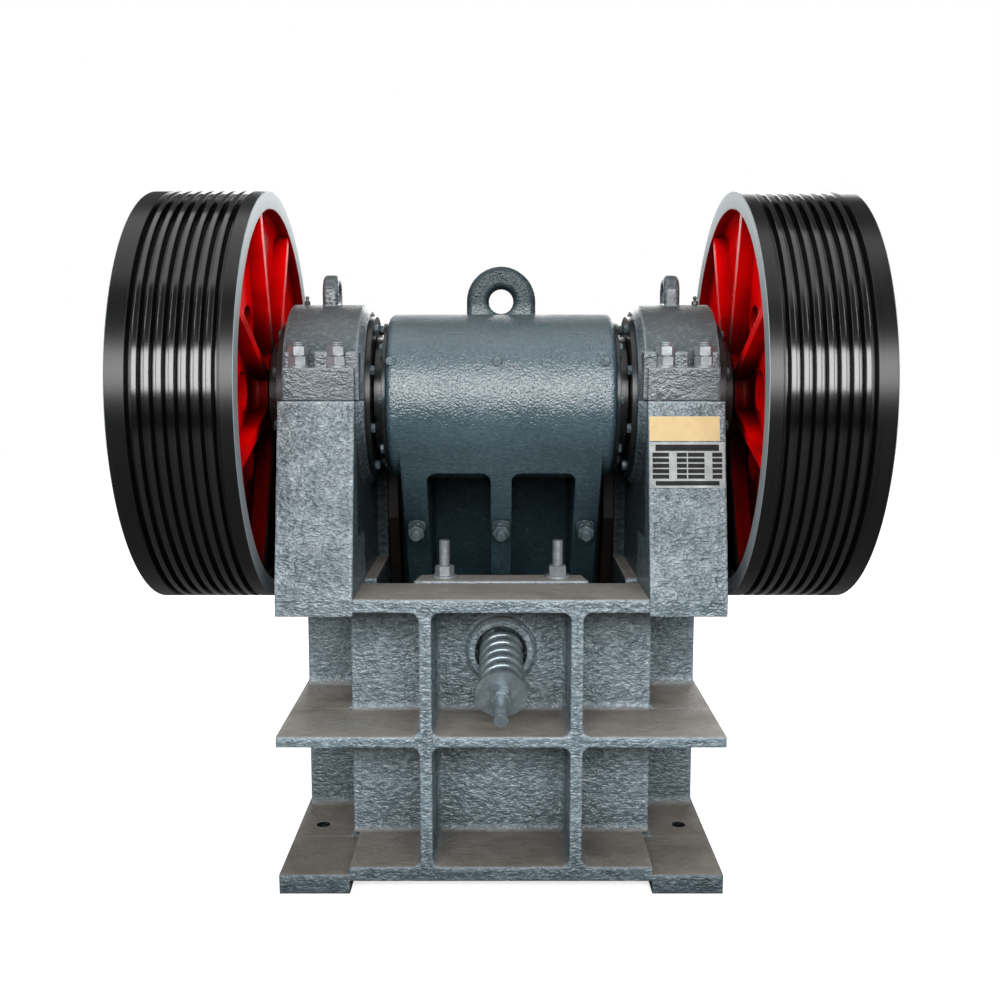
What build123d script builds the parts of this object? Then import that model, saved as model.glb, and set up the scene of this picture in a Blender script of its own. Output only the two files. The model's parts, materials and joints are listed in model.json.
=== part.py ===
from build123d import *

import os
from math import asin, atan2, cos, hypot, radians, sin, tan

# Single-toggle jaw crusher, in millimetres. X runs across the machine, +Y towards the feed side, +Z up.
# The origin is on the floor, in the centre of the four foundation holes.

# Foundation and shaft
discharge_height = 250.0
anchor_hole_radius = 12.0
anchor_side_set = 66.0
anchor_end_set = 56.0

# Crushing chamber
jaw_width = 400.0
gape = 250.0
discharge = 60.0
jaw_top_drop = 60.0
jaw_drop = 530.0
jaw_top_ahead = 190.0
jaw_base_thickness = 32.0
tooth_depth = 18.0
tooth_count = 8
jaw_bolt_along = 100.0
jaw_bolt_radius = 9.0
jaw_bolt_head_radius = 15.0
jaw_bolt_head_height = 12.0
jaw_bolt_sink = 4.0
jaw_bolt_washer = 4.0
jaw_bolt_tail = 14.0
jaw_nut_across = 27.0
jaw_nut_height = 26.0
clamp_height = 40.0
clamp_end_gap = 5.0
clamp_lean = 12.0
clamp_top_gap = 2.0
cheek_gap = 6.0
cheek_thickness = 20.0
cheek_rear_gap = 12.0
cheek_top_drop = 15.0
cheek_rear_drop = 250.0
cheek_foot_drop = 10.0
cheek_foot_ahead = 60.0
fixed_jaw_extra = 20.0
jaw_ledge_reach = 35.0
jaw_ledge_height = 40.0

# Frame
side_thickness = 44.0
plate_overlap = 8.0
rear_thickness = 25.0
front_thickness = 35.0
rear_set = 95.0
rear_flange_depth = 155.0
front_flange_depth = 115.0
flange_reach = 110.0
top_flange_above_boss = 126.0
top_flange_thickness = 22.0
mid_flange_below_boss = 110.0
mid_flange_thickness = 18.0
base_flange_lift = 23.0
base_flange_thickness = 25.0
foot_thickness = 34.0
foot_step = 11.0
mouth_rim_reach = 60.0
mouth_rim_thickness = 25.0
rib_thickness = 20.0
rib_inset = 120.0
side_rib_reach = 105.0
side_rib_spacing = 280.0
top_tab_overlap = 2.0
top_tab_reach = 34.0
top_tab_slope = 9.0
top_rounding = 48.0
corner_rounding = 16.0
root_rounding = 11.0

# Bearing housings
pedestal_inset = 21.0
pedestal_width = 129.0
pedestal_top_half = 182.0
pedestal_skirt = 29.0
housing_inset = 8.0
housing_step = 4.0
housing_radius = 166.0
housing_bevel = 12.0
cap_ear_height = 55.0
cap_ear_step = 9.0
bearing_radius = 107.5
bearing_width = 73.0
cap_eye_set = 59.0
cap_eye_thickness = 28.0
cap_eye_radius = 34.0
cap_eye_lift = 19.0
cap_eye_hole_radius = 14.0
cap_eye_rounding = 8.0
ear_post_width = 22.0
ear_post_height = 26.0
ear_post_pitch = 52.0
ear_post_set = 56.0
ear_post_inset = 10.0
outer_cover_step = 31.0
outer_cover_thickness = 12.0
outer_hub_radius = 100.0
outer_hub_length = 18.0
inner_cover_step = 21.0
inner_cover_thickness = 9.0

# Eccentric shaft
journal_radius = 50.0
wheel_seat_radius = 45.0
throw_radius = 70.0
throw_inset = 14.0
eccentricity = 10.0
shaft_tail = 93.0
shaft_chamfer = 3.0
running_gap = 0.3
labyrinth_radius = 108.0
labyrinth_gap = 3.0

# Flywheels
wheel_radius = 364.0
rim_thickness = 30.0
wheel_gap = 32.0
wheel_width = 197.5
web_inset = 30.0
web_thickness = 26.0
hub_radius = 85.0
hub_inset = 4.0
hub_length = 150.0
wheel_rounding = 12.0
spoke_rib_thickness = 18.0
spoke_rib_count = 8
spoke_rib_turn = 17.5
web_hole_radius = 35.0
web_hole_circle = 165.0
groove_count = 8
groove_depth = 14.0
groove_mouth = 10.5
groove_floor = 6.0
groove_first = 28.0
groove_last = 36.5
lock_ring_radius = 70.0
lock_ring_length = 34.0

# Swing jaw
barrel_radius = 149.0
barrel_bore_radius = 82.0
barrel_rounding = 12.0
pitman_plate_thickness = 34.0
pitman_tail_depth = 42.6
pitman_tail_extra = 10.0
pitman_beam_rise = 60.0
pitman_rib_half = 19.0
outer_rib_width = 45.0
outer_rib_inset = 22.0
jaw_bed_inset = 2.0
toe_length = 34.0
toe_cover = 30.0
end_cover_thickness = 8.0
end_plate_step = 13.0
end_plate_thickness = 6.0
web_corner_rounding = 18.0
web_depth = 260.0
web_top_lift = 25.0
lifting_eye_radius = 62.0
lifting_eye_hole_radius = 22.0
lifting_eye_lift = 23.0
lifting_eye_thickness = 40.0
lifting_eye_rounding = 12.0

# Toggle and adjuster
toggle_end_rise = 93.0
toggle_behind = 42.0
toggle_length = 185.0
toggle_thickness = 24.0
toggle_end_radius = 16.0
toggle_side_gap = 5.0
seat_gap = 0.6
seat_lip = 2.0
seat_depth = 34.0
seat_height = 60.0
slot_length = 60.0
block_height = 110.0
block_side_gap = 50.0
guide_gap = 5.0
guide_reach = 100.0
ledge_depth = 60.0
wedge_side_gap = 5.0
wedge_top_thickness = 30.0
wedge_above = 80.0
wedge_below = 75.0
wedge_taper = 8.0
stud_inset = 42.0
stud_radius = 10.0
stud_hole_gap = 1.0
stud_rise = 68.0
nut_across = 30.0
nut_height = 19.0

# Tension rod
rod_radius = 12.5
rod_slope = 17.7
rod_boss_rise = 93.0
rod_boss_radius = 63.0
rod_bore_radius = 47.0
rod_boss_depth = 17.0
rod_boss_chamfer = 7.0
pocket_radius = 58.0
pocket_bore_radius = 44.0
pocket_start = 15.0
pocket_floor = 28.0
pocket_end = 40.0
rod_hole_radius = 24.0
rod_pin_cover = 31.9
rod_pin_radius = 12.5
fork_cheek = 12.0
fork_radius = 22.0
fork_length = 46.0
fork_base = 24.0
fork_gap = 2.0
pin_end = 5.0
spring_radius = 32.5
spring_wire_radius = 7.0
spring_turns = 6
disc_radius = 45.0
disc_thickness = 8.0
disc_set = 135.0
rod_tail = 74.0

jaw_full = jaw_base_thickness + tooth_depth
frame_length = rear_set + jaw_top_ahead + gape + jaw_full + front_thickness
shaft_y = rear_set - frame_length / 2
shaft_z = discharge_height + jaw_drop + jaw_top_drop
rear_outer_y = shaft_y - rear_set
rear_inner_y = rear_outer_y + rear_thickness
rear_flange_y = rear_outer_y - rear_flange_depth
plate_back_y = shaft_y + housing_radius - plate_overlap
fixed_face_y = shaft_y + jaw_top_ahead + gape
front_inner_y = fixed_face_y + jaw_full
front_outer_y = front_inner_y + front_thickness
front_flange_y = front_outer_y + front_flange_depth
base_top_z = base_flange_lift + base_flange_thickness
jaw_bottom_z = shaft_z - jaw_top_drop - jaw_drop

side_inner = jaw_width / 2 + cheek_gap + cheek_thickness
side_outer = side_inner + side_thickness
flange_outer = side_outer + flange_reach
foot_inner = side_outer - foot_step
pedestal_inner = side_inner + pedestal_inset
pedestal_outer = pedestal_inner + pedestal_width
rib_offset = pedestal_inner - rib_inset
housing_inner = side_inner + housing_inset
housing_outer = pedestal_outer - housing_step
wheel_inner_face = pedestal_outer + wheel_gap
hub_start = wheel_inner_face + hub_inset
hub_end = hub_start + hub_length
shaft_half = hub_end + shaft_tail
web_inner = wheel_inner_face + web_inset
rim_inner_radius = wheel_radius - rim_thickness
bolt_pitch_x = 2 * (side_outer + anchor_side_set)
bolt_pitch_y = frame_length - 2 * anchor_end_set

outer_rib_outer = jaw_width / 2 - outer_rib_inset
outer_rib_inner = outer_rib_outer - outer_rib_width
block_width = jaw_width - 2 * block_side_gap
toggle_width = block_width - 2 * toggle_side_gap
wedge_width = block_width - 2 * wedge_side_gap
stud_offset = wedge_width / 2 - stud_inset

# The swing jaw's face closes in on the fixed jaw from the gape to the discharge.
jaw_run = gape - discharge
jaw_length = hypot(jaw_run, jaw_drop)
jaw_ahead = jaw_run / jaw_length
jaw_down = jaw_drop / jaw_length
jaw_deep = jaw_full + pitman_plate_thickness

# The toggle pushes at right angles to the line from the shaft to its front seat, which is set in the jaw.
toggle_along = jaw_length - toggle_end_rise
toggle_back = jaw_deep + toggle_behind
toggle_ahead = jaw_top_ahead + toggle_along * jaw_ahead - toggle_back * jaw_down
toggle_drop = jaw_top_drop + toggle_along * jaw_down + toggle_back * jaw_ahead
toggle_arm = hypot(toggle_ahead, toggle_drop)
toggle_cos = toggle_drop / toggle_arm
toggle_sin = toggle_ahead / toggle_arm
pitman_tail_drop = jaw_top_drop + jaw_drop + pitman_tail_extra
pitman_beam_drop = toggle_drop - pitman_beam_rise

# The flanges lie above and below the tension rod's boss.
rod_boss_drop = toggle_drop - rod_boss_rise
top_flange_drop = rod_boss_drop - top_flange_above_boss
mid_flange_drop = rod_boss_drop + mid_flange_below_boss
top_flange_z = shaft_z - top_flange_drop
top_under_z = top_flange_z - top_flange_thickness
mid_flange_z = shaft_z - mid_flange_drop
mid_under_z = mid_flange_z - mid_flange_thickness
pedestal_bottom_z = top_flange_z - pedestal_skirt

# The swing jaw's rear ribs leave the barrel at a tangent and end behind the jaw bed.
tail_along = (pitman_tail_drop - jaw_top_drop - jaw_deep * jaw_ahead) / jaw_down
tail_ahead = jaw_top_ahead + tail_along * jaw_ahead - jaw_deep * jaw_down - pitman_tail_depth
tail_arm = hypot(tail_ahead, pitman_tail_drop)
pitman_lean = atan2(tail_ahead, pitman_tail_drop) + asin(barrel_radius / tail_arm)
edge_start_y = -barrel_radius * cos(pitman_lean)
edge_start_z = -barrel_radius * sin(pitman_lean)

# The tension rod's pin lies inside the ribs' rear edge.
rod_cos = cos(radians(rod_slope))
rod_sin = sin(radians(rod_slope))
edge_at_boss = edge_start_y + (edge_start_z + rod_boss_drop) * tan(pitman_lean)
rod_pin_reach = rear_set + edge_at_boss + rod_pin_cover
rod_pin_distance = rod_pin_reach / (rod_cos + rod_sin * tan(pitman_lean))
disc_start = -disc_set / rod_cos

shaft_axis = Axis((0, shaft_y, shaft_z), (1, 0, 0))


def prism(points, x_min, x_max):
    """Extrudes an outline of (y, z) points from x_min to x_max."""
    outline = Polygon(*points, align=None)
    return extrude(Plane.YZ.offset(x_min) * outline, x_max - x_min, dir=(1, 0, 0))


def block(x_min, x_max, y_min, y_max, z_min, z_max):
    """A box between two corners."""
    box = Box(x_max - x_min, y_max - y_min, z_max - z_min, align=Align.MIN)
    return Pos(x_min, y_min, z_min) * box


def disc(radius, x_min, x_max, y=shaft_y, z=shaft_z):
    """A cylinder along X from x_min to x_max."""
    return extrude(Plane.YZ.offset(x_min) * Pos(y, z) * Circle(radius), x_max - x_min)


def ring(outer, inner, x_min, x_max, y=shaft_y, z=shaft_z):
    """A tube along X from x_min to x_max."""
    return disc(outer, x_min, x_max, y, z) - disc(inner, x_min, x_max, y, z)


def post(radius, x, y, z_min, z_max):
    """An upright cylinder."""
    return extrude(Plane.XY.offset(z_min) * Pos(x, y) * Circle(radius), z_max - z_min)


def from_shaft(*points):
    """Moves (y, z) pairs that are measured from the shaft's axis."""
    return [(shaft_y + y, shaft_z + z) for y, z in points]


def jaw_pair(along, back):
    """A (y, z) pair measured down the swing jaw's face and back from it."""
    y = shaft_y + jaw_top_ahead + along * jaw_ahead - back * jaw_down
    z = shaft_z - jaw_top_drop - along * jaw_down - back * jaw_ahead
    return (y, z)


def toggle_pair(along, up):
    """A (y, z) pair measured back from the toggle's front end and square to the toggle."""
    y = shaft_y + toggle_ahead - along * toggle_cos - up * toggle_sin
    z = shaft_z - toggle_drop - along * toggle_sin + up * toggle_cos
    return (y, z)


def rod_plane(distance):
    """A plane across the tension rod, at a distance ahead of the rear wall's face, facing the feed side."""
    y = rear_outer_y + distance * rod_cos
    z = shaft_z - rod_boss_drop + distance * rod_sin
    return Plane((0, y, z), x_dir=(1, 0, 0), z_dir=(0, rod_cos, rod_sin))


def rod_cylinder(radius, start, end):
    """A cylinder on the tension rod's axis."""
    return extrude(rod_plane(start) * Circle(radius), end - start)


def both_sides(piece):
    """The piece and its mirror image across the machine's middle."""
    return piece + mirror(piece, about=Plane.YZ)


def recess(x_min, x_max, y_min, y_max, z_min, z_max, axis, floor):
    """A recess with rounded corners, whose floor is its first (0) or last (-1) face along an axis."""
    hollow = block(x_min, x_max, y_min, y_max, z_min, z_max)
    hollow = fillet(hollow.edges().filter_by(axis), corner_rounding)
    return fillet(hollow.edges().group_by(axis)[floor], root_rounding)


def end_band(open_y, floor_y, low, high):
    """An end wall's ribs between two flanges, with the rounded recesses that the casting has there."""
    floor = -1 if floor_y > open_y else 0
    y_min, y_max = sorted((open_y, floor_y))
    near = rib_offset - rib_thickness / 2
    far = rib_offset + rib_thickness / 2
    band = block(-side_outer, side_outer, y_min, y_max, low, high)
    band -= recess(-near, near, y_min, y_max, low, high, Axis.Y, floor)
    side = recess(far, 2 * side_outer, y_min, y_max, low, high, Axis.Y, floor)
    return band - side - mirror(side, about=Plane.YZ)


def side_band(rib_places, start, low, high, reach):
    """The right-hand side wall's ribs between two levels, with the rounded recesses between them."""
    half = rib_thickness / 2
    band = block(side_outer, side_outer + reach, start, front_outer_y, low, high)
    places = [rear_flange_y, *rib_places, front_flange_y]
    for rear, front in zip(places[:-1], places[1:]):
        band -= recess(side_outer, flange_outer, rear + half, front - half, low, high, Axis.X, 0)
    return band


def rear_wall():
    """The rear wall with its flanges, ribs, rod boss and the guides of the adjusting block."""
    body = block(-side_outer, side_outer, rear_outer_y, rear_inner_y, base_flange_lift, pedestal_bottom_z)
    body += block(
        -pedestal_inner, pedestal_inner, rear_outer_y, rear_inner_y, pedestal_bottom_z, top_flange_z
    )
    body += block(
        -pedestal_inner, pedestal_inner, rear_flange_y, rear_outer_y, top_under_z, top_flange_z
    )
    top_edge = body.edges().filter_by(Axis.X).group_by(Axis.Z)[-1].sort_by(Axis.Y)[-1]
    body = fillet(top_edge, top_rounding)
    body += top_tab()
    body += block(-flange_outer, flange_outer, rear_flange_y, rear_outer_y, mid_under_z, mid_flange_z)
    body += block(-foot_inner, foot_inner, rear_flange_y, rear_outer_y, base_flange_lift, base_top_z)
    foot = block(foot_inner, flange_outer, rear_flange_y, rear_outer_y, 0, foot_thickness)
    foot += block(foot_inner, side_outer, rear_outer_y, rear_inner_y, 0, base_flange_lift)
    foot += guide_cheek()
    body += both_sides(foot)
    body += end_band(rear_flange_y, rear_outer_y, base_top_z, mid_under_z)
    upper = end_band(rear_flange_y, rear_outer_y, mid_flange_z, top_under_z)
    skirt = block(pedestal_inner, side_outer, rear_flange_y, rear_outer_y, pedestal_bottom_z, top_under_z)
    body += upper - both_sides(skirt)
    body += guide_ledge()
    boss_plane = Plane.XZ.offset(-rear_inner_y) * Pos(0, shaft_z - rod_boss_drop)
    boss = extrude(boss_plane * Circle(rod_boss_radius), rear_thickness + rod_boss_depth)
    body += chamfer(boss.edges().sort_by(Axis.Y)[0], rod_boss_chamfer)
    body -= extrude(boss_plane * Circle(rod_bore_radius), rear_thickness + rod_boss_depth)
    body += rod_cylinder(pocket_radius, pocket_start, pocket_end)
    body -= rod_cylinder(pocket_bore_radius, -pocket_end, pocket_floor)
    body -= rod_cylinder(rod_hole_radius, pocket_floor, 2 * pocket_end)
    for side in (-1, 1):
        body -= post(stud_radius + stud_hole_gap, side * stud_offset, stud_y(), top_under_z, top_flange_z)
    return body


def top_tab():
    """The part of the top flange that reaches over the wedge."""
    tip = wedge_width / 2 + top_tab_overlap
    root = tip + top_tab_slope
    edge = rear_inner_y + top_tab_reach
    outline = Polygon((-root, rear_outer_y), (root, rear_outer_y), (tip, edge), (-tip, edge), align=None)
    return extrude(Plane.XY.offset(top_under_z) * outline, top_flange_thickness, dir=(0, 0, 1))


def stud_y():
    """The adjusting studs stand over the middle of the wedge's top."""
    return rear_inner_y + wedge_top_thickness / 2


def guide_cheek():
    """An upright rib inside the rear wall, beside the adjusting block."""
    inner = block_width / 2 + guide_gap
    low = toggle_pair(toggle_length, -block_height / 2)[1]
    high = toggle_pair(toggle_length, block_height)[1]
    return block(inner, inner + rib_thickness, rear_inner_y, rear_inner_y + guide_reach, low, high)


def guide_ledge():
    """The sloping bracket that the adjusting block slides on."""
    half = block_width / 2 + guide_gap + rib_thickness
    drop = -block_height / 2 - running_gap
    tip = toggle_pair(toggle_length - seat_depth / 2, drop)
    slope = toggle_sin / toggle_cos
    root_z = tip[1] - (tip[0] - rear_inner_y) * slope
    under = (tip[0], tip[1] - rib_thickness)
    points = [(rear_inner_y, root_z), tip, under, (rear_inner_y, root_z - ledge_depth)]
    return prism(points, -half, half)


def front_wall():
    """The front wall that carries the fixed jaw, with its flanges and ribs."""
    body = block(-side_outer, side_outer, front_inner_y, front_outer_y, base_flange_lift, shaft_z)
    rim_outer = side_outer + mouth_rim_reach
    levels = [
        (rim_outer, shaft_z - mouth_rim_thickness, shaft_z),
        (flange_outer, top_under_z, top_flange_z),
        (flange_outer, mid_under_z, mid_flange_z),
        (foot_inner, base_flange_lift, base_top_z),
    ]
    for reach, low, high in levels:
        body += block(-reach, reach, front_outer_y, front_flange_y, low, high)
    foot = block(foot_inner, flange_outer, front_outer_y, front_flange_y, 0, foot_thickness)
    foot += block(foot_inner, side_outer, front_inner_y, front_outer_y, 0, base_flange_lift)
    body += both_sides(foot)
    for lower, upper in zip(levels[1:], levels[:-1]):
        body += end_band(front_flange_y, front_outer_y, lower[2], upper[1])
    ledge_top = jaw_bottom_z - running_gap
    body += block(
        -jaw_width / 2,
        jaw_width / 2,
        front_inner_y - jaw_ledge_reach,
        front_inner_y,
        ledge_top - jaw_ledge_height,
        ledge_top,
    )
    return body


def side_wall():
    """The right-hand side wall with its bearing pedestal, flanges, ribs and foot."""
    plate = [
        (rear_inner_y, base_flange_lift),
        (front_inner_y, base_flange_lift),
        (front_inner_y, shaft_z),
        (plate_back_y, shaft_z),
        (plate_back_y, top_flange_z),
        (rear_inner_y, top_flange_z),
    ]
    body = prism(plate, side_inner, side_outer)
    skirt = rear_flange_y - shaft_y
    outline = from_shaft(
        (skirt, -top_flange_drop - pedestal_skirt),
        (skirt, -top_flange_drop),
        (-pedestal_top_half, 0),
        (pedestal_top_half, 0),
        (-skirt, -top_flange_drop),
        (-skirt, -top_flange_drop - pedestal_skirt),
    )
    body += prism(outline, pedestal_inner, pedestal_outer)
    body += housing() - block(0, flange_outer, rear_flange_y, front_outer_y, shaft_z, 2 * shaft_z)
    body -= disc(bearing_radius, 0, 2 * pedestal_outer)
    body += block(side_outer, flange_outer, rear_outer_y, front_outer_y, 0, foot_thickness)
    body += block(foot_inner, side_outer, rear_inner_y, front_inner_y, 0, base_flange_lift)
    body += block(side_outer, flange_outer, rear_outer_y, front_outer_y, mid_under_z, mid_flange_z)
    body += block(side_outer, flange_outer, shaft_y, front_outer_y, top_under_z, top_flange_z)
    rim_y = shaft_y + pedestal_top_half
    rim_under = shaft_z - mouth_rim_thickness
    body += block(side_outer, side_outer + mouth_rim_reach, rim_y, front_outer_y, rim_under, shaft_z)
    ribs = (-side_rib_spacing / 2, side_rib_spacing / 2)
    body += side_band(ribs, rear_outer_y, foot_thickness, mid_under_z, side_rib_reach)
    body += side_band(ribs, rear_outer_y, mid_flange_z, top_under_z, side_rib_reach)
    body += side_band(ribs[1:], rim_y, top_flange_z, rim_under, mouth_rim_reach)
    for hole_y in (-bolt_pitch_y / 2, bolt_pitch_y / 2):
        body -= post(anchor_hole_radius, bolt_pitch_x / 2, hole_y, 0, foot_thickness)
    return body


def housing():
    """The round body of the right-hand bearing housing, with its bevelled inner edge."""
    body = disc(housing_radius, housing_inner, housing_outer)
    return chamfer(body.edges().sort_by(Axis.X)[0], housing_bevel)


def lifting_loop(plane, radius, hole_radius, rise, thickness, rounding):
    """A rounded lifting eye on a plane whose origin is the hole's centre, with a stem down to the casting."""
    outline = Circle(radius) + Pos(0, -rise / 2) * Rectangle(2 * radius, rise) - Circle(hole_radius)
    loop = extrude(plane * outline, thickness / 2, both=True)
    return fillet(loop.edges() - loop.edges().group_by(Axis.Z)[0], rounding)


def bearing_cap():
    """The right-hand bearing cap with its bolting ears and lifting eye."""
    dome = housing()
    rear = shaft_y - pedestal_top_half
    front = shaft_y + pedestal_top_half
    ear_outer = pedestal_outer - cap_ear_step
    dome += block(pedestal_inner, ear_outer, rear, front, shaft_z, shaft_z + cap_ear_height)
    for place in (-1, 0, 1):
        x = pedestal_inner + ear_post_set + place * ear_post_pitch
        dome += block(
            x - ear_post_width / 2,
            x + ear_post_width / 2,
            rear + ear_post_inset,
            front - ear_post_inset,
            shaft_z,
            shaft_z + cap_ear_height + ear_post_height,
        )
    rise = housing_radius + cap_eye_lift
    eye_plane = Plane.YZ.offset(pedestal_inner + cap_eye_set) * Pos(shaft_y, shaft_z + rise)
    dome += lifting_loop(
        eye_plane, cap_eye_radius, cap_eye_hole_radius, rise, cap_eye_thickness, cap_eye_rounding
    )
    dome -= disc(bearing_radius, 0, 2 * housing_outer)
    return dome - block(0, 2 * housing_outer, 2 * rear, 2 * shaft_z, 0, shaft_z)


def outer_cover():
    """The cover between the right-hand bearing and its flywheel."""
    edge = pedestal_outer
    body = disc(housing_radius - outer_cover_step, edge, edge + outer_cover_thickness)
    body += disc(outer_hub_radius, edge, edge + outer_cover_thickness + outer_hub_length)
    return body - disc(journal_radius + running_gap, 0, shaft_half)


def inner_cover():
    """The cover between the right-hand bearing and the swing jaw."""
    return ring(
        housing_radius - inner_cover_step,
        journal_radius + running_gap,
        housing_inner - inner_cover_thickness,
        housing_inner,
    )


def bearing():
    """The right-hand roller bearing, as one closed ring."""
    middle = (housing_inner + pedestal_outer) / 2
    half = bearing_width / 2
    return ring(bearing_radius, journal_radius + running_gap, middle - half, middle + half)


def eccentric_shaft():
    """The shaft with its offset throw."""
    body = disc(journal_radius, -hub_start, hub_start)
    body += disc(wheel_seat_radius, -shaft_half, shaft_half)
    for end in (0, -1):
        body = chamfer(body.edges().group_by(Axis.X)[end], shaft_chamfer)
    half = jaw_width / 2 - throw_inset
    return body + disc(throw_radius, -half, half, shaft_y + eccentricity)


def labyrinth_ring():
    """The sealing ring on the right-hand journal."""
    start = jaw_width / 2 + end_plate_thickness + labyrinth_gap
    end = housing_inner - inner_cover_thickness - labyrinth_gap
    return ring(labyrinth_radius, journal_radius, start, end)


def wheel_section():
    """The flywheel's section, as (x, radius) points from the bore round over the grooved rim."""
    web_outer = web_inner + web_thickness
    wheel_outer = wheel_inner_face + wheel_width
    groove_pitch = (wheel_width - groove_first - groove_last) / (groove_count - 1)
    points = [
        (hub_start, wheel_seat_radius),
        (hub_start, hub_radius),
        (web_inner, hub_radius),
        (web_inner, rim_inner_radius),
        (wheel_inner_face, rim_inner_radius),
        (wheel_inner_face, wheel_radius),
    ]
    for turn in range(groove_count):
        middle = wheel_inner_face + groove_first + turn * groove_pitch
        points += [
            (middle - groove_mouth / 2, wheel_radius),
            (middle - groove_floor / 2, wheel_radius - groove_depth),
            (middle + groove_floor / 2, wheel_radius - groove_depth),
            (middle + groove_mouth / 2, wheel_radius),
        ]
    return points + [
        (wheel_outer, wheel_radius),
        (wheel_outer, rim_inner_radius),
        (web_outer, rim_inner_radius),
        (web_outer, hub_radius),
        (hub_end, hub_radius),
        (hub_end, wheel_seat_radius),
    ]


def flywheel():
    """The right-hand flywheel with its belt grooves, web, ribs and hub."""
    outline = [(x, shaft_y, shaft_z + radius) for x, radius in wheel_section()]
    section = make_face(Polyline(*outline, close=True))
    web_middle = web_inner + web_thickness / 2
    roots = [
        corner
        for corner in section.vertices()
        if abs(corner.X - web_middle) < web_thickness and corner.Z < shaft_z + rim_inner_radius + running_gap
    ]
    body = revolve(fillet(roots, wheel_rounding), shaft_axis, 360)
    start = shaft_y + hub_radius - spoke_rib_thickness / 2
    end = shaft_y + wheel_radius - rim_thickness / 2
    half = spoke_rib_thickness / 2
    hole = disc(web_hole_radius, hub_start, hub_end, shaft_y + web_hole_circle)
    for turn in range(spoke_rib_count):
        angle = spoke_rib_turn + turn * 360 / spoke_rib_count
        rib = block(hub_start, hub_end, start, end, shaft_z - half, shaft_z + half)
        body += rib.rotate(shaft_axis, angle)
        body -= hole.rotate(shaft_axis, angle + 180 / spoke_rib_count)
    return body


def lock_ring():
    """The locking nut outside the right-hand flywheel's hub."""
    return ring(lock_ring_radius, wheel_seat_radius, hub_end, hub_end + lock_ring_length)


def pitman_rear(drop):
    """A (y, z) pair on the rear edge of the swing jaw's ribs."""
    return (shaft_y + edge_start_y + (edge_start_z + drop) * tan(pitman_lean), shaft_z - drop)


def swing_jaw_body():
    """The cast swing jaw: barrel, jaw bed, three rear ribs, toggle beam and lifting eye."""
    half = jaw_width / 2
    barrel = disc(barrel_radius, -half, half)
    barrel = fillet(barrel.edges(), barrel_rounding)
    end = jaw_length + toe_length
    toe = jaw_full - toe_cover
    bed = [
        jaw_pair(0, jaw_full),
        jaw_pair(jaw_length + running_gap, jaw_full),
        jaw_pair(jaw_length + running_gap, toe),
        jaw_pair(end, toe),
        jaw_pair(end, jaw_deep),
        jaw_pair(-jaw_top_drop, jaw_deep),
    ]
    body = barrel + prism(bed, -half + jaw_bed_inset, half - jaw_bed_inset)
    rib = [
        pitman_rear(-edge_start_z),
        pitman_rear(pitman_tail_drop),
        jaw_pair(end, jaw_deep),
        jaw_pair(0, jaw_deep),
        (shaft_y, shaft_z),
    ]
    beam_along = (pitman_beam_drop - jaw_top_drop) / jaw_down
    ribs = prism(rib, -outer_rib_outer, outer_rib_outer)
    body += ribs - both_sides(jaw_web_recess(beam_along))
    beam_top = jaw_pair(beam_along, jaw_deep)
    beam = [pitman_rear(pitman_beam_drop), pitman_rear(pitman_tail_drop), jaw_pair(end, jaw_deep), beam_top]
    body += prism(beam, -outer_rib_outer, outer_rib_outer)
    rise = barrel_radius + lifting_eye_lift
    eye_plane = Plane.XZ.offset(-shaft_y) * Pos(0, shaft_z + rise)
    body += lifting_loop(
        eye_plane,
        lifting_eye_radius,
        lifting_eye_hole_radius,
        rise,
        lifting_eye_thickness,
        lifting_eye_rounding,
    )
    body -= disc(barrel_bore_radius, -half, half)
    body -= toggle_slot()
    for x in bolt_places():
        body -= jaw_bolt_shank(x, jaw_full, jaw_full + 2 * barrel_radius)
    body -= disc(rod_pin_radius, -pitman_rib_half, pitman_rib_half, *rod_pin_place())
    return body


def jaw_web_recess(beam_along):
    """The rounded recess between the middle and the right-hand rear rib, down to the back of the jaw bed."""
    width = outer_rib_inner - pitman_rib_half
    height = beam_along + web_top_lift
    hollow = Box(width, height, web_depth, align=(Align.CENTER, Align.CENTER, Align.MIN))
    hollow = fillet(hollow.edges().filter_by(Axis.Z), web_corner_rounding)
    hollow = fillet(hollow.edges().group_by(Axis.Z)[0], root_rounding)
    y, z = jaw_pair(beam_along - height / 2, jaw_deep)
    middle = (outer_rib_inner + pitman_rib_half) / 2
    plane = Plane((middle, y, z), x_dir=(1, 0, 0), z_dir=(0, -jaw_down, -jaw_ahead))
    return plane.location * hollow


def rod_pin_place():
    """The (y, z) of the pin that ties the tension rod to the middle rib."""
    origin = rod_plane(rod_pin_distance).origin
    return (origin.Y, origin.Z)


def toggle_slot():
    """The slot in the swing jaw's beam that holds the front toggle seat and lets the toggle in."""
    half = seat_height / 2
    points = [
        toggle_pair(-seat_depth, half),
        toggle_pair(slot_length, half),
        toggle_pair(slot_length, -half),
        toggle_pair(-seat_depth, -half),
    ]
    return prism(points, -block_width / 2, block_width / 2)


def bolt_places():
    """The X of the three jaw bolts, one in each rear rib."""
    side = (outer_rib_inner + outer_rib_outer) / 2
    return (-side, 0.0, side)


def jaw_bolt_plane(x, back):
    """A plane across a jaw bolt at a depth behind the swing jaw's face, facing the rear."""
    y, z = jaw_pair(jaw_bolt_along, back)
    return Plane((x, y, z), x_dir=(1, 0, 0), z_dir=(0, -jaw_down, -jaw_ahead))


def jaw_bolt_shank(x, start, end):
    """A jaw bolt's shank between two depths."""
    return extrude(jaw_bolt_plane(x, start) * Circle(jaw_bolt_radius), end - start)


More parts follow.
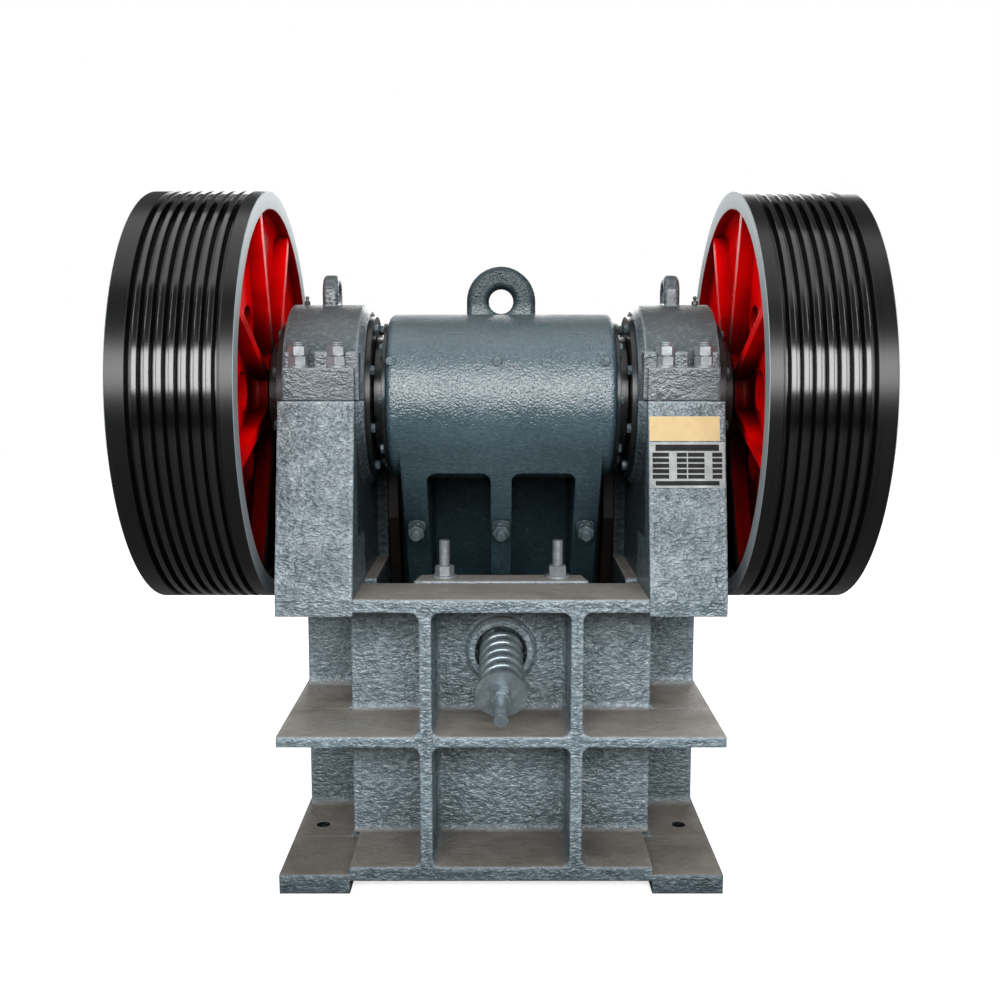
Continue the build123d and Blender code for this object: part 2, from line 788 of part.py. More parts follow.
def jaw_bolt_end():
    """The depth of the ribs' rear edge where the jaw bolts come out."""
    y, z = jaw_pair(jaw_bolt_along, 0)
    ahead = (y - shaft_y) * cos(pitman_lean) + (z - shaft_z) * sin(pitman_lean)
    across = jaw_down * cos(pitman_lean) + jaw_ahead * sin(pitman_lean)
    return (ahead + barrel_radius) / across


def jaw_bolts():
    """The three bolts that hold the swing jaw plate, with their nuts on the ribs."""
    bolts = []
    seat = jaw_bolt_end() + jaw_bolt_washer
    head = tooth_depth + jaw_bolt_sink
    for x in bolt_places():
        bolt = jaw_bolt_shank(x, head, seat + jaw_nut_height + jaw_bolt_tail)
        bolt += extrude(jaw_bolt_plane(x, head) * Circle(jaw_bolt_head_radius), jaw_bolt_head_height)
        bolt += hex_nut(jaw_bolt_plane(x, seat), jaw_nut_across, jaw_nut_height)
        bolts.append(bolt)
    return Compound(children=[bolt.solid() for bolt in bolts])


def tooth_outline(phase):
    """A jaw plate's ribbed section as (x, depth) points, with depth measured back from the tips."""
    pitch = jaw_width / tooth_count
    points = [(-jaw_width / 2, jaw_full)]
    for tooth in range(tooth_count + 1):
        x = -jaw_width / 2 + tooth * pitch
        low, high = (tooth_depth, 0.0) if phase else (0.0, tooth_depth)
        points.append((x, low))
        if tooth < tooth_count:
            points.append((x + pitch / 2, high))
    points.append((jaw_width / 2, jaw_full))
    return points


def swing_jaw_plate():
    """The ribbed wear plate on the swing jaw."""
    top = jaw_pair(0, 0)
    plane = Plane((0, *top), x_dir=(1, 0, 0), z_dir=(0, jaw_ahead, -jaw_down))
    outline = Polygon(*tooth_outline(True), align=None)
    plate = extrude(plane * outline, jaw_length, dir=plane.z_dir)
    for x in bolt_places():
        plate -= jaw_bolt_shank(x, 0, 2 * jaw_full)
        sink = tooth_depth + jaw_bolt_sink + jaw_bolt_head_height
        plate -= extrude(jaw_bolt_plane(x, 0) * Circle(jaw_bolt_head_radius), sink)
    return plate


def fixed_jaw_plate():
    """The ribbed wear plate on the front wall."""
    plane = Plane((0, fixed_face_y, jaw_bottom_z), x_dir=(1, 0, 0), z_dir=(0, 0, 1))
    outline = Polygon(*tooth_outline(False), align=None)
    return extrude(plane * outline, jaw_drop + fixed_jaw_extra, dir=(0, 0, 1))


def jaw_wedge():
    """The clamping bar above the swing jaw plate."""
    points = [
        jaw_pair(-running_gap, jaw_full),
        jaw_pair(-running_gap, tooth_depth),
        jaw_pair(-clamp_height, tooth_depth + clamp_lean),
        jaw_pair(-clamp_height, jaw_full + clamp_height * pitman_plate_thickness / jaw_top_drop),
    ]
    half = jaw_width / 2 - clamp_end_gap
    return prism(points, -half, half) - disc(barrel_radius, -half, half)


def fixed_jaw_clamp():
    """The bar that holds the fixed jaw plate's upper end."""
    low = jaw_bottom_z + jaw_drop + fixed_jaw_extra + running_gap
    high = shaft_z - clamp_top_gap
    return block(-jaw_width / 2, jaw_width / 2, fixed_face_y + tooth_depth, front_inner_y, low, high)


def cheek_plate():
    """The right-hand side liner of the crushing chamber."""
    rear = plate_back_y + cheek_rear_gap
    top = shaft_z - cheek_top_drop
    foot = jaw_bottom_z - cheek_foot_drop
    outline = [
        (rear, top),
        (front_inner_y, top),
        (front_inner_y, foot),
        (fixed_face_y - discharge - cheek_foot_ahead, foot),
        (rear, shaft_z - cheek_rear_drop),
    ]
    return prism(outline, side_inner - cheek_thickness, side_inner)


def pitman_cover():
    """The flanged ring that closes the barrel's right-hand end around the journal."""
    end = jaw_width / 2
    hole = journal_radius + running_gap
    body = ring(barrel_bore_radius, hole, end - end_cover_thickness, end + end_plate_thickness)
    return body + ring(barrel_radius - end_plate_step, hole, end, end + end_plate_thickness)


def toggle_seat(front):
    """A toggle seat with its rounded groove."""
    half = seat_height / 2
    if front:
        groove = toggle_pair(0, 0)
        near, far = -seat_lip, -seat_depth
    else:
        groove = toggle_pair(toggle_length, 0)
        near, far = toggle_length + seat_lip, toggle_length + seat_depth
    points = [
        toggle_pair(near, half),
        toggle_pair(near, -half),
        toggle_pair(far, -half),
        toggle_pair(far, half),
    ]
    seat = prism(points, -block_width / 2, block_width / 2)
    return seat - disc(toggle_end_radius + seat_gap, -block_width, block_width, *groove)


def toggle_plate():
    """The toggle plate with its two rounded ends."""
    half = toggle_width / 2
    thick = toggle_thickness / 2
    points = [
        toggle_pair(0, thick),
        toggle_pair(0, -thick),
        toggle_pair(toggle_length, -thick),
        toggle_pair(toggle_length, thick),
    ]
    plate = prism(points, -half, half)
    for along in (0, toggle_length):
        plate += disc(toggle_end_radius, -half, half, *toggle_pair(along, 0))
    return plate


def wedge_face_y(z):
    """The wedge's sloping face, by height."""
    top = toggle_pair(toggle_length, 0)[1] + wedge_above
    return rear_inner_y + wedge_top_thickness + (top - z) * tan(radians(wedge_taper))


def adjusting_wedge():
    """The wedge that sets the discharge."""
    middle = toggle_pair(toggle_length, 0)[1]
    top, bottom = middle + wedge_above, middle - wedge_below
    points = [
        (rear_inner_y, top),
        (rear_inner_y, bottom),
        (wedge_face_y(bottom), bottom),
        (wedge_face_y(top), top),
    ]
    return prism(points, -wedge_width / 2, wedge_width / 2)


def block_back(up):
    """The (y, z) of the adjusting block's back on a line square to the toggle."""
    y, z = toggle_pair(toggle_length, up)
    slope = tan(radians(wedge_taper))
    reach = (y - running_gap - wedge_face_y(z)) / (toggle_cos + slope * toggle_sin)
    return toggle_pair(toggle_length + reach, up)


def adjusting_block():
    """The block that carries the rear toggle seat against the wedge."""
    half = block_height / 2
    start = toggle_length + seat_depth
    points = [toggle_pair(start, half), toggle_pair(start, -half), block_back(-half), block_back(half)]
    return prism(points, -block_width / 2, block_width / 2)


def hex_nut(plane, across, height):
    """A plain hexagon nut."""
    return extrude(plane * RegularPolygon(across / 2, 6, major_radius=False), height)


def adjusting_stud():
    """The right-hand stud that lifts the wedge, with its nut on the top flange."""
    low = toggle_pair(toggle_length, 0)[1] + wedge_above
    stud = post(stud_radius, stud_offset, stud_y(), low, top_flange_z + stud_rise)
    seat = Plane.XY.offset(top_flange_z) * Pos(stud_offset, stud_y())
    return stud + hex_nut(seat, nut_across, nut_height)


def tension_rod():
    """The rod with the fork that takes the middle rib."""
    end = rod_pin_distance
    tail = disc_start - rod_tail
    inner = pitman_rib_half + fork_gap
    width = 2 * (inner + fork_cheek)
    fork = extrude(rod_plane(end - fork_length) * Rectangle(width, 2 * fork_radius), fork_length)
    fork += disc(fork_radius, -width / 2, width / 2, *rod_pin_place())
    fork -= extrude(rod_plane(end - fork_length) * Rectangle(2 * inner, 4 * fork_radius), 2 * fork_length)
    base = end - fork_length - fork_base
    fork += extrude(rod_plane(base) * Rectangle(width, 2 * fork_radius), fork_base)
    fork += rod_cylinder(rod_radius, tail, base)
    return fork - disc(rod_pin_radius + running_gap, -width, width, *rod_pin_place())


def rod_pin():
    """The cross pin in the fork."""
    half = pitman_rib_half + fork_gap + fork_cheek + pin_end
    return disc(rod_pin_radius, -half, half, *rod_pin_place())


def spring_disc():
    """The disc behind the spring."""
    end = disc_start + disc_thickness
    return rod_cylinder(disc_radius, disc_start, end) - rod_cylinder(rod_radius, disc_start, end)


def rod_nut():
    """The nut that sets the spring's load."""
    start = disc_start - nut_height
    return hex_nut(rod_plane(start), nut_across, nut_height) - rod_cylinder(rod_radius, start, disc_start)


def tension_spring():
    """The coiled spring between the disc and the floor of the rear wall's pocket."""
    start = disc_start + disc_thickness + spring_wire_radius + running_gap
    height = pocket_floor - spring_wire_radius - running_gap - start
    path = Helix(pitch=height / spring_turns, height=height, radius=spring_radius)
    section = Plane(path @ 0, z_dir=path % 0) * Circle(spring_wire_radius)
    return rod_plane(start).location * sweep(section, path)


def mirrored(piece):
    """The left-hand copy of a right-hand piece."""
    return mirror(piece, about=Plane.YZ)


pieces = {
    "rear_wall": rear_wall(),
    "front_wall": front_wall(),
    "fixed_jaw_plate": fixed_jaw_plate(),
    "fixed_jaw_clamp": fixed_jaw_clamp(),
    "adjusting_wedge": adjusting_wedge(),
    "adjusting_block": adjusting_block(),
    "rear_toggle_seat": toggle_seat(False),
    "toggle_plate": toggle_plate(),
    "front_toggle_seat": toggle_seat(True),
    "swing_jaw_body": swing_jaw_body(),
    "swing_jaw_plate": swing_jaw_plate(),
    "jaw_plate_wedge": jaw_wedge(),
    "jaw_plate_bolts": jaw_bolts(),
    "tension_rod": tension_rod(),
    "tension_rod_pin": rod_pin(),
    "spring_disc": spring_disc(),
    "tension_rod_nut": rod_nut(),
    "tension_spring": tension_spring(),
    "eccentric_shaft": eccentric_shaft(),
}
pairs = {
    "side_wall": side_wall(),
    "bearing_cap": bearing_cap(),
    "bearing": bearing(),
    "outer_bearing_cover": outer_cover(),
    "inner_bearing_cover": inner_cover(),
    "cheek_plate": cheek_plate(),
    "adjusting_stud": adjusting_stud(),
    "flywheel": flywheel(),
    "lock_ring": lock_ring(),
    "labyrinth_ring": labyrinth_ring(),
    "barrel_cover": pitman_cover(),
}
for name, piece in pairs.items():
    pieces[name + "_right"] = piece
    pieces[name + "_left"] = mirrored(piece)

os.makedirs("parts", exist_ok=True)
for name, piece in pieces.items():
    export_step(piece, f"parts/{name}.step")
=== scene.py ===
import json
from math import cos, pi, radians, sin

import bpy
from mathutils import Matrix, Vector


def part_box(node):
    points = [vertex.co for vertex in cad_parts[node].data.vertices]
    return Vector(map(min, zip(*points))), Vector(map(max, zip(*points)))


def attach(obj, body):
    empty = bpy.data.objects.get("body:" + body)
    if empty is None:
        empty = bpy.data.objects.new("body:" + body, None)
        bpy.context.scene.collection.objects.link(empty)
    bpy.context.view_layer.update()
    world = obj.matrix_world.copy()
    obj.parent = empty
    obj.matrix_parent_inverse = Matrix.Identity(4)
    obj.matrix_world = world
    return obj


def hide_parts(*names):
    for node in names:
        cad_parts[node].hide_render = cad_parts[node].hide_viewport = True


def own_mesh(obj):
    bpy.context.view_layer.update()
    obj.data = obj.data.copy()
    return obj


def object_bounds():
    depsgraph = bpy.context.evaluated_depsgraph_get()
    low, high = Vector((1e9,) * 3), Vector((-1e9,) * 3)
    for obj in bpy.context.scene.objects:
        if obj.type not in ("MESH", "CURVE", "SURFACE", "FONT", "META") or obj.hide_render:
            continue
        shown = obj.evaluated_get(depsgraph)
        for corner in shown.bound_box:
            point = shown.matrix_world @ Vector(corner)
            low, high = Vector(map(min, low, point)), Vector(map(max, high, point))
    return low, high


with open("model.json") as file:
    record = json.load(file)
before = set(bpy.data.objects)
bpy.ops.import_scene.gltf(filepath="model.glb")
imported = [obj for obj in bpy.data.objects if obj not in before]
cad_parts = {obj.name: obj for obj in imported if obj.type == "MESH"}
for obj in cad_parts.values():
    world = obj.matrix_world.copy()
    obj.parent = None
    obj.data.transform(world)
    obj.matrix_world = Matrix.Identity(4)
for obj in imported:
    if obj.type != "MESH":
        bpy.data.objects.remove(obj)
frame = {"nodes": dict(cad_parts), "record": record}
nodes = frame["nodes"]
cadLow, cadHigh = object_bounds()

shaft = Vector((0.0, -0.215, 0.840))  # the eccentric shaft's axis runs along X through here


# Camera and studio

studio = {
    "cameraAhead": 2.109,  # in front of the shaft, the distance that the wheels' ovals give
    "cameraAbove": 0.0823,
    "cameraSide": -0.002,
    "pitch": 7.40,
    "lens": 41.19,
    "sensor": 36,
    "farthest": 60,
    "floorSize": 16,
    "floorGap": 0.0005,
    "floor": "#E9E9E7",
    "floorDark": "#6E6E6C",  # what the object mirrors of it
    "glow": (0.62, 1.0),  # weak under the object for the shadow, full farther out
    "glowReach": (0.7, 1.7),
    "skyStrength": 0.16,
    "aim": (0, -0.1, 0.6),
    # name: (place, width, height, power); the door is low and broad, from the bright bands on barrel and wheels
    "lamps": {
        "door": ((0.0, -3.3, 1.70), 4.0, 1.2, 165.0),
        "top": ((-0.2, -0.6, 3.1), 3.2, 2.2, 30.0),
        "sideLeft": ((-2.6, -0.7, 2.2), 1.0, 1.0, 22.0),
        "sideRight": ((2.6, -0.7, 2.2), 1.0, 1.0, 22.0),
        "rim": ((0.4, 3.2, 2.1), 3.0, 1.6, 75.0),
    },
}


def colour(hexText):
    values = [int(hexText[i:i + 2], 16) / 255 for i in (1, 3, 5)]
    return [v / 12.92 if v <= 0.04045 else ((v + 0.055) / 1.055) ** 2.4 for v in values] + [1.0]


def addNode(tree, kind, settings=None, links=None):
    node = tree.nodes.new("ShaderNode" + kind)
    for name, value in (settings or {}).items():
        if isinstance(name, int) or name in node.inputs:
            node.inputs[name].default_value = value
        else:
            setattr(node, name, value)
    for name, source in (links or {}).items():
        tree.links.new(source, node.inputs[name])
    return node


def newMaterial(name):
    material = bpy.data.materials.new(name)
    material.use_nodes = True
    tree = material.node_tree
    tree.nodes.clear()
    return material, tree


def makeStudio():
    camera = bpy.data.objects.new("camera", bpy.data.cameras.new("camera"))
    bpy.context.scene.collection.objects.link(camera)
    camera.location = shaft + Vector((studio["cameraSide"], -studio["cameraAhead"], studio["cameraAbove"]))
    camera.rotation_euler = (radians(90 - studio["pitch"]), 0, 0)
    camera.data.lens = studio["lens"]
    camera.data.sensor_width = studio["sensor"]
    camera.data.clip_end = studio["farthest"]
    bpy.context.scene.camera = camera

    for name, (place, width, height, power) in studio["lamps"].items():
        data = bpy.data.lights.new(name, "AREA")
        data.shape = "RECTANGLE"
        data.size = width
        data.size_y = height
        data.energy = power
        lamp = bpy.data.objects.new(name, data)
        bpy.context.scene.collection.objects.link(lamp)
        lamp.location = place
        aim = Vector(studio["aim"]) - Vector(place)
        lamp.rotation_euler = aim.to_track_quat("-Z", "Y").to_euler()

    world = bpy.data.worlds.new("studio")
    bpy.context.scene.world = world
    world.use_nodes = True
    tree = world.node_tree
    tree.nodes.clear()
    path = addNode(tree, "LightPath")
    seen = addNode(tree, "Math", {"operation": "MAXIMUM"}, {
        0: path.outputs["Is Camera Ray"], 1: path.outputs["Is Transmission Ray"]})
    soft = addNode(tree, "Background", {"Color": (1, 1, 1, 1), "Strength": studio["skyStrength"]})
    white = addNode(tree, "Background", {"Color": (1, 1, 1, 1), "Strength": 1.0})
    mix = addNode(tree, "MixShader", {}, {0: seen.outputs[0], 1: soft.outputs[0], 2: white.outputs[0]})
    addNode(tree, "OutputWorld", {}, {"Surface": mix.outputs[0]})

    bpy.ops.object.select_all(action="DESELECT")
    bpy.ops.mesh.primitive_plane_add(size=studio["floorSize"], location=(0, 0, cadLow.z - studio["floorGap"]))
    floor = bpy.context.object
    floor.name = "studioFloor"
    material, tree = newMaterial("paleFloor")
    path = addNode(tree, "LightPath")
    matt = addNode(tree, "BsdfDiffuse", {"Color": colour(studio["floor"])})
    dark = addNode(tree, "BsdfDiffuse", {"Color": colour(studio["floorDark"])})
    coords = addNode(tree, "TexCoord").outputs["Object"]
    away = addNode(tree, "VectorMath", {"operation": "LENGTH"}, {0: coords}).outputs["Value"]
    (near, far), (weak, full) = studio["glowReach"], studio["glow"]
    fade = addNode(tree, "MapRange", {1: near, 2: far, 3: weak, 4: full}, {0: away}).outputs[0]
    glow = addNode(tree, "Emission", {"Color": (1, 1, 1, 1)}, {"Strength": fade})
    both = addNode(tree, "AddShader", {}, {0: matt.outputs[0], 1: glow.outputs[0]})
    mix = addNode(tree, "MixShader", {}, {0: path.outputs["Is Camera Ray"], 1: dark.outputs[0], 2: both.outputs[0]})
    addNode(tree, "OutputMaterial", {}, {"Surface": mix.outputs[0]})
    floor.data.materials.append(material)

    bpy.context.scene.view_settings.view_transform = "Standard"
    print("studio ready")


makeStudio()


# Materials
# MapRange sockets: 0 value, 1 and 2 the range in, 3 and 4 the range out. Mix sockets: 0 factor, 2 and 3 numbers,
# 4 and 5 vectors, 6 and 7 colours.

def surfaceStart(tree, softenMm):
    coords = addNode(tree, "TexCoord").outputs["Object"]
    soft = addNode(tree, "Bevel", {"samples": 4, "Radius": softenMm / 1000}).outputs[0]  # no edge is quite sharp
    return coords, soft


def upwardDust(tree, coords, amount, sizeMm):
    up = addNode(tree, "SeparateXYZ", {}, {0: addNode(tree, "NewGeometry").outputs["Normal"]}).outputs["Z"]
    level = addNode(tree, "MapRange", {1: 0.55, 2: 0.95, 4: amount}, {0: up}).outputs[0]
    patches = addNode(tree, "TexNoise", {"Scale": 1000 / sizeMm, "Detail": 5.0, "Roughness": 0.6}, {"Vector": coords})
    spread = addNode(tree, "MapRange", {1: 0.3, 2: 0.6, 3: 0.55, 4: 1.0}, {0: patches.outputs[0]}).outputs[0]
    return addNode(tree, "Math", {"operation": "MULTIPLY"}, {0: level, 1: spread}).outputs[0]


casting = {
    "lumpRise": 0.012,  # heights of the relief, in metres
    "grainRise": 0.0075,
    "fineRise": 0.0030,
    "leastGrain": 0.45,  # where the brushed paint fills the grain
    "oiledDust": "#4A4641",
    "dustEnds": (0.70, 0.82),  # heights between which the dust gives way to cleaner paint
}


def castEnamel(name, look):
    # Alkyd enamel brushed over a sand casting: glossy paint that follows a coarse grain, grime with painted shade in
    # its hollows and a painted glint on its rubbed peaks, pale where the brush dragged over edges, with a painted
    # highlight where edges face up, brown with dust where it lies flat, painted shade in recesses and the chamber, and
    # darker higher up near the bearings, a painted shade
    material, tree = newMaterial(name)
    coords, soft = surfaceStart(tree, look["softenMm"])
    stretched = addNode(tree, "Mapping", {"Scale": look["stretch"]}, {"Vector": coords}).outputs[0]
    grain = addNode(tree, "TexNoise", {
        "Scale": 1000 / look["grainMm"], "Detail": 2.5, "Roughness": 0.5}, {"Vector": stretched}).outputs[0]
    fine = addNode(tree, "TexNoise", {"Scale": 1000 / look["fineMm"], "Detail": 2.0}, {"Vector": stretched}).outputs[0]
    lumps = addNode(tree, "TexNoise", {"Scale": 1000 / look["lumpMm"], "Detail": 2.0}, {"Vector": coords}).outputs[0]
    patches = addNode(tree, "TexNoise", {"Scale": 1000 / look["patchMm"], "Detail": 4.0, "Roughness": 0.6},
                      {"Vector": coords}).outputs[0]
    tone = addNode(tree, "MapRange", {1: 0.35, 2: 0.65}, {0: patches}).outputs[0]
    paint = addNode(tree, "Mix", {
        "data_type": "RGBA", 6: colour(look["paint"]), 7: colour(look["paintPale"])}, {0: tone})
    # grime with painted shade in the hollows of the grain
    hollow = addNode(tree, "MapRange", {1: 0.36, 2: 0.49, 3: look["grimeAndShade"], 4: 0.0}, {0: grain}).outputs[0]
    grimeShadeAndGlint = addNode(tree, "Mix", {
        "data_type": "RGBA", 7: colour(look["grimeAndShadeColour"])}, {0: hollow, 6: paint.outputs[2]})
    # rubbed paint with a painted glint on the peaks of the grain
    peak = addNode(tree, "MapRange", {1: 0.52, 2: 0.66, 3: 0.0, 4: look["rubbedAndGlint"]}, {0: grain}).outputs[0]
    grimeShadeAndGlint = addNode(tree, "Mix", {
        "data_type": "RGBA", 7: colour(look["wearAndHighlightColour"])}, {0: peak, 6: grimeShadeAndGlint.outputs[2]})
    # pale rubbed paint on edges and fillets, with a painted highlight that is stronger where they face up
    true = addNode(tree, "NewGeometry").outputs["Normal"]
    wide = addNode(tree, "Bevel", {"samples": 3, "Radius": look["edgeMm"] / 1000}).outputs[0]
    turned = addNode(tree, "VectorMath", {"operation": "DOT_PRODUCT"}, {0: wide, 1: true}).outputs["Value"]
    edge = addNode(tree, "MapRange", {1: 0.92, 2: 0.998, 3: 1.0, 4: 0.0}, {0: turned}).outputs[0]
    rise = addNode(tree, "SeparateXYZ", {}, {0: wide}).outputs["Z"]
    lit = addNode(tree, "MapRange", {
        1: 0.10, 2: 0.45, 3: look["edgeWearAndHighlight"] * 0.4, 4: look["edgeWearAndHighlight"]}, {0: rise}).outputs[0]
    edge = addNode(tree, "Math", {"operation": "MULTIPLY"}, {0: edge, 1: lit}).outputs[0]
    worn = addNode(tree, "Mix", {
        "data_type": "RGBA", 7: colour(look["wearAndHighlightColour"])}, {0: edge, 6: grimeShadeAndGlint.outputs[2]})
    height = addNode(tree, "SeparateXYZ", {}, {0: coords}).outputs["Z"]
    lowest, highest = casting["dustEnds"]
    low = addNode(tree, "MapRange", {1: lowest, 2: highest, 3: 1.0, 4: look["dustAbove"]}, {0: height}).outputs[0]
    settled = upwardDust(tree, coords, look["dust"], look["patchMm"])
    dust = addNode(tree, "Math", {"operation": "MULTIPLY"}, {0: settled, 1: low}).outputs[0]
    oiled = addNode(tree, "MapRange", {1: 0.42, 2: 0.68, 3: 0.0, 4: 0.7}, {0: patches}).outputs[0]
    dirt = addNode(tree, "Mix", {
        "data_type": "RGBA", 6: colour(look["dustColour"]), 7: colour(casting["oiledDust"])}, {0: oiled})
    dusty = addNode(tree, "Mix", {"data_type": "RGBA"}, {0: dust, 6: worn.outputs[2], 7: dirt.outputs[2]})
    bare = addNode(tree, "Math", {"operation": "SUBTRACT", 0: 1.0}, {1: dust}).outputs[0]
    wavy = addNode(tree, "Bump", {"Strength": look["lumpDepth"], "Distance": casting["lumpRise"]},
                   {"Height": lumps, "Normal": soft})
    uneven = addNode(tree, "MapRange", {
        1: 0.38, 2: 0.62, 3: look["grainDepth"] * casting["leastGrain"], 4: look["grainDepth"]}, {0: lumps})
    depth = addNode(tree, "Math", {"operation": "MULTIPLY"}, {0: bare, 1: uneven.outputs[0]}).outputs[0]
    rough = addNode(tree, "Bump", {"Distance": casting["grainRise"]},
                    {"Height": grain, "Normal": wavy.outputs[0], "Strength": depth})
    rough = addNode(tree, "Bump", {"Strength": look["fineDepth"], "Distance": casting["fineRise"]},
                    {"Height": fine, "Normal": rough.outputs[0]})

    joint = partingLine(tree, coords)
    seamed = addNode(tree, "Mix", {
        "data_type": "RGBA", 7: colour(look["jointColour"])}, {0: joint, 6: dusty.outputs[2]})
    # painted shade: darker in corners, bays and recesses, by ambient occlusion
    deep = addNode(tree, "AmbientOcclusion", {"samples": 3, "Distance": look["deepMm"] / 1000}).outputs["AO"]
    shade = addNode(tree, "MapRange", {
        1: look["deepFrom"], 2: look["deepTo"], 3: look["deepShade"], 4: 1.0}, {0: deep})
    # painted shade in the chamber, towards the floor and in the anchor holes
    inside = addNode(tree, "Mix", {0: look["chamberShadeInside"], 2: 1.0}, {3: paintedFrameShade(tree, coords)}).outputs[0]
    shade = addNode(tree, "Math", {"operation": "MULTIPLY"}, {0: shade.outputs[0], 1: inside}).outputs[0]
    # painted shade: darker higher up, towards the bearings
    upperShading = addNode(tree, "MapRange", {
        1: look["upperShadeFrom"], 2: look["upperShadeTo"], 3: 1.0, 4: look["upperShade"]}, {0: height})
    shade = addNode(tree, "Math", {"operation": "MULTIPLY"}, {0: shade, 1: upperShading.outputs[0]}).outputs[0]
    base = addNode(tree, "Mix", {
        "data_type": "RGBA", "blend_type": "MULTIPLY", 0: 1.0}, {6: seamed.outputs[2], 7: shade})
    gloss = addNode(tree, "MapRange", {
        1: 0.3, 2: 0.7, 3: look["gloss"], 4: look["gloss"] + 0.14}, {0: patches}).outputs[0]
    dull = addNode(tree, "Mix", {3: 0.75}, {0: dust, 2: gloss}).outputs[0]
    # less reflection where the shade is painted
    shine = addNode(tree, "MapRange", {1: 0.3, 2: 0.8, 3: 0.05, 4: 0.5}, {0: shade}).outputs[0]
    shader = addNode(tree, "BsdfPrincipled", {"IOR": look["shine"]}, {
        "Base Color": base.outputs[2], "Roughness": dull, "Normal": rough.outputs[0], "Specular IOR Level": shine})
    addNode(tree, "OutputMaterial", {}, {"Surface": shader.outputs[0]})
    return material


seam = {"half": (0.0006, 0.0016), "endY": (-0.045, -0.040)}


def partingLine(tree, coords):
    # where the bearing caps meet the pedestals, on their rear half
    thin, wide = seam["half"]
    rearmost, end = seam["endY"]
    parts = addNode(tree, "SeparateXYZ", {}, {0: coords})
    above = addNode(tree, "Math", {"operation": "SUBTRACT", 1: shaft.z}, {0: parts.outputs["Z"]}).outputs[0]
    away = addNode(tree, "Math", {"operation": "ABSOLUTE"}, {0: above}).outputs[0]
    line = addNode(tree, "MapRange", {1: thin, 2: wide, 3: 1.0, 4: 0.0}, {0: away}).outputs[0]
    rear = addNode(tree, "MapRange", {1: rearmost, 2: end, 3: 1.0, 4: 0.0}, {0: parts.outputs["Y"]}).outputs[0]
    return addNode(tree, "Math", {"operation": "MULTIPLY"}, {0: line, 1: rear}).outputs[0]


chamber = {
    "side": (0.262, 0.272),  # between the side walls
    "ledge": (0.600, 0.606),  # height where the rear wall's inner face steps back
    "lowerFace": -0.28,
    "upperFace": -0.385,
    "blend": 0.012,
    "top": (0.76, 0.83),
    "steepness": (0.4, 0.8),
    "shade": 0.30,
    "footTop": 0.14,
    "footShade": 0.42,
    "hole": (0.336, 0.254),  # the anchor holes' distances from the centre
    "holeEdge": (0.0122, 0.0132),
    "holeTop": (0.060, 0.062),
    "holeShade": 0.06,
}


def paintedFrameShade(tree, coords):
    # painted shade: darker between the side walls and ahead of the back wall, towards the floor, and in the anchor
    # holes
    look = chamber
    parts = addNode(tree, "SeparateXYZ", {}, {0: coords})
    side = addNode(tree, "Math", {"operation": "ABSOLUTE"}, {0: parts.outputs["X"]}).outputs[0]
    between = addNode(tree, "MapRange", {1: look["side"][0], 2: look["side"][1], 3: 1.0, 4: 0.0}, {0: side}).outputs[0]
    upper = addNode(tree, "MapRange", {
        1: look["ledge"][0], 2: look["ledge"][1]}, {0: parts.outputs["Z"]}).outputs[0]
    edge = addNode(tree, "Mix", {2: look["lowerFace"], 3: look["upperFace"]}, {0: upper}).outputs[0]
    past = addNode(tree, "Math", {"operation": "SUBTRACT"}, {0: parts.outputs["Y"], 1: edge}).outputs[0]
    ahead = addNode(tree, "MapRange", {1: 0.0, 2: look["blend"]}, {0: past}).outputs[0]
    below = addNode(tree, "MapRange", {
        1: look["top"][0], 2: look["top"][1], 3: 1.0, 4: 0.0}, {0: parts.outputs["Z"]}).outputs[0]
    up = addNode(tree, "SeparateXYZ", {}, {0: addNode(tree, "NewGeometry").outputs["Normal"]}).outputs["Z"]
    steep = addNode(tree, "MapRange", {
        1: look["steepness"][0], 2: look["steepness"][1], 3: 1.0, 4: 0.0}, {0: up}).outputs[0]
    # the mask of the painted shade in the chamber
    dirt = between
    for mask in (ahead, below, steep):
        dirt = addNode(tree, "Math", {"operation": "MULTIPLY"}, {0: dirt, 1: mask}).outputs[0]
    shadeFactor = addNode(tree, "MapRange", {3: 1.0, 4: look["shade"]}, {0: dirt}).outputs[0]
    # painted shade, darker towards the floor
    foot = addNode(tree, "MapRange", {
        1: 0.0, 2: look["footTop"], 3: look["footShade"], 4: 1.0}, {0: parts.outputs["Z"]}).outputs[0]
    shadeFactor = addNode(tree, "Math", {"operation": "MULTIPLY"}, {0: shadeFactor, 1: foot}).outputs[0]
    # painted shade inside the four anchor holes in the foot
    acrossHole = addNode(tree, "Math", {"operation": "SUBTRACT", 1: look["hole"][0]}, {0: side}).outputs[0]
    alongBase = addNode(tree, "Math", {"operation": "ABSOLUTE"}, {0: parts.outputs["Y"]}).outputs[0]
    alongHole = addNode(tree, "Math", {"operation": "SUBTRACT", 1: look["hole"][1]}, {0: alongBase}).outputs[0]
    fromHole = addNode(tree, "CombineXYZ", {}, {"X": acrossHole, "Y": alongHole}).outputs[0]
    reach = addNode(tree, "VectorMath", {"operation": "LENGTH"}, {0: fromHole}).outputs["Value"]
    hole = addNode(tree, "MapRange", {
        1: look["holeEdge"][0], 2: look["holeEdge"][1], 3: look["holeShade"], 4: 1.0}, {0: reach}).outputs[0]
    aboveFoot = addNode(tree, "MapRange", {
        1: look["holeTop"][0], 2: look["holeTop"][1]}, {0: parts.outputs["Z"]}).outputs[0]
    hole = addNode(tree, "Math", {"operation": "MAXIMUM"}, {0: hole, 1: aboveFoot}).outputs[0]
    return addNode(tree, "Math", {"operation": "MULTIPLY"}, {0: shadeFactor, 1: hole}).outputs[0]
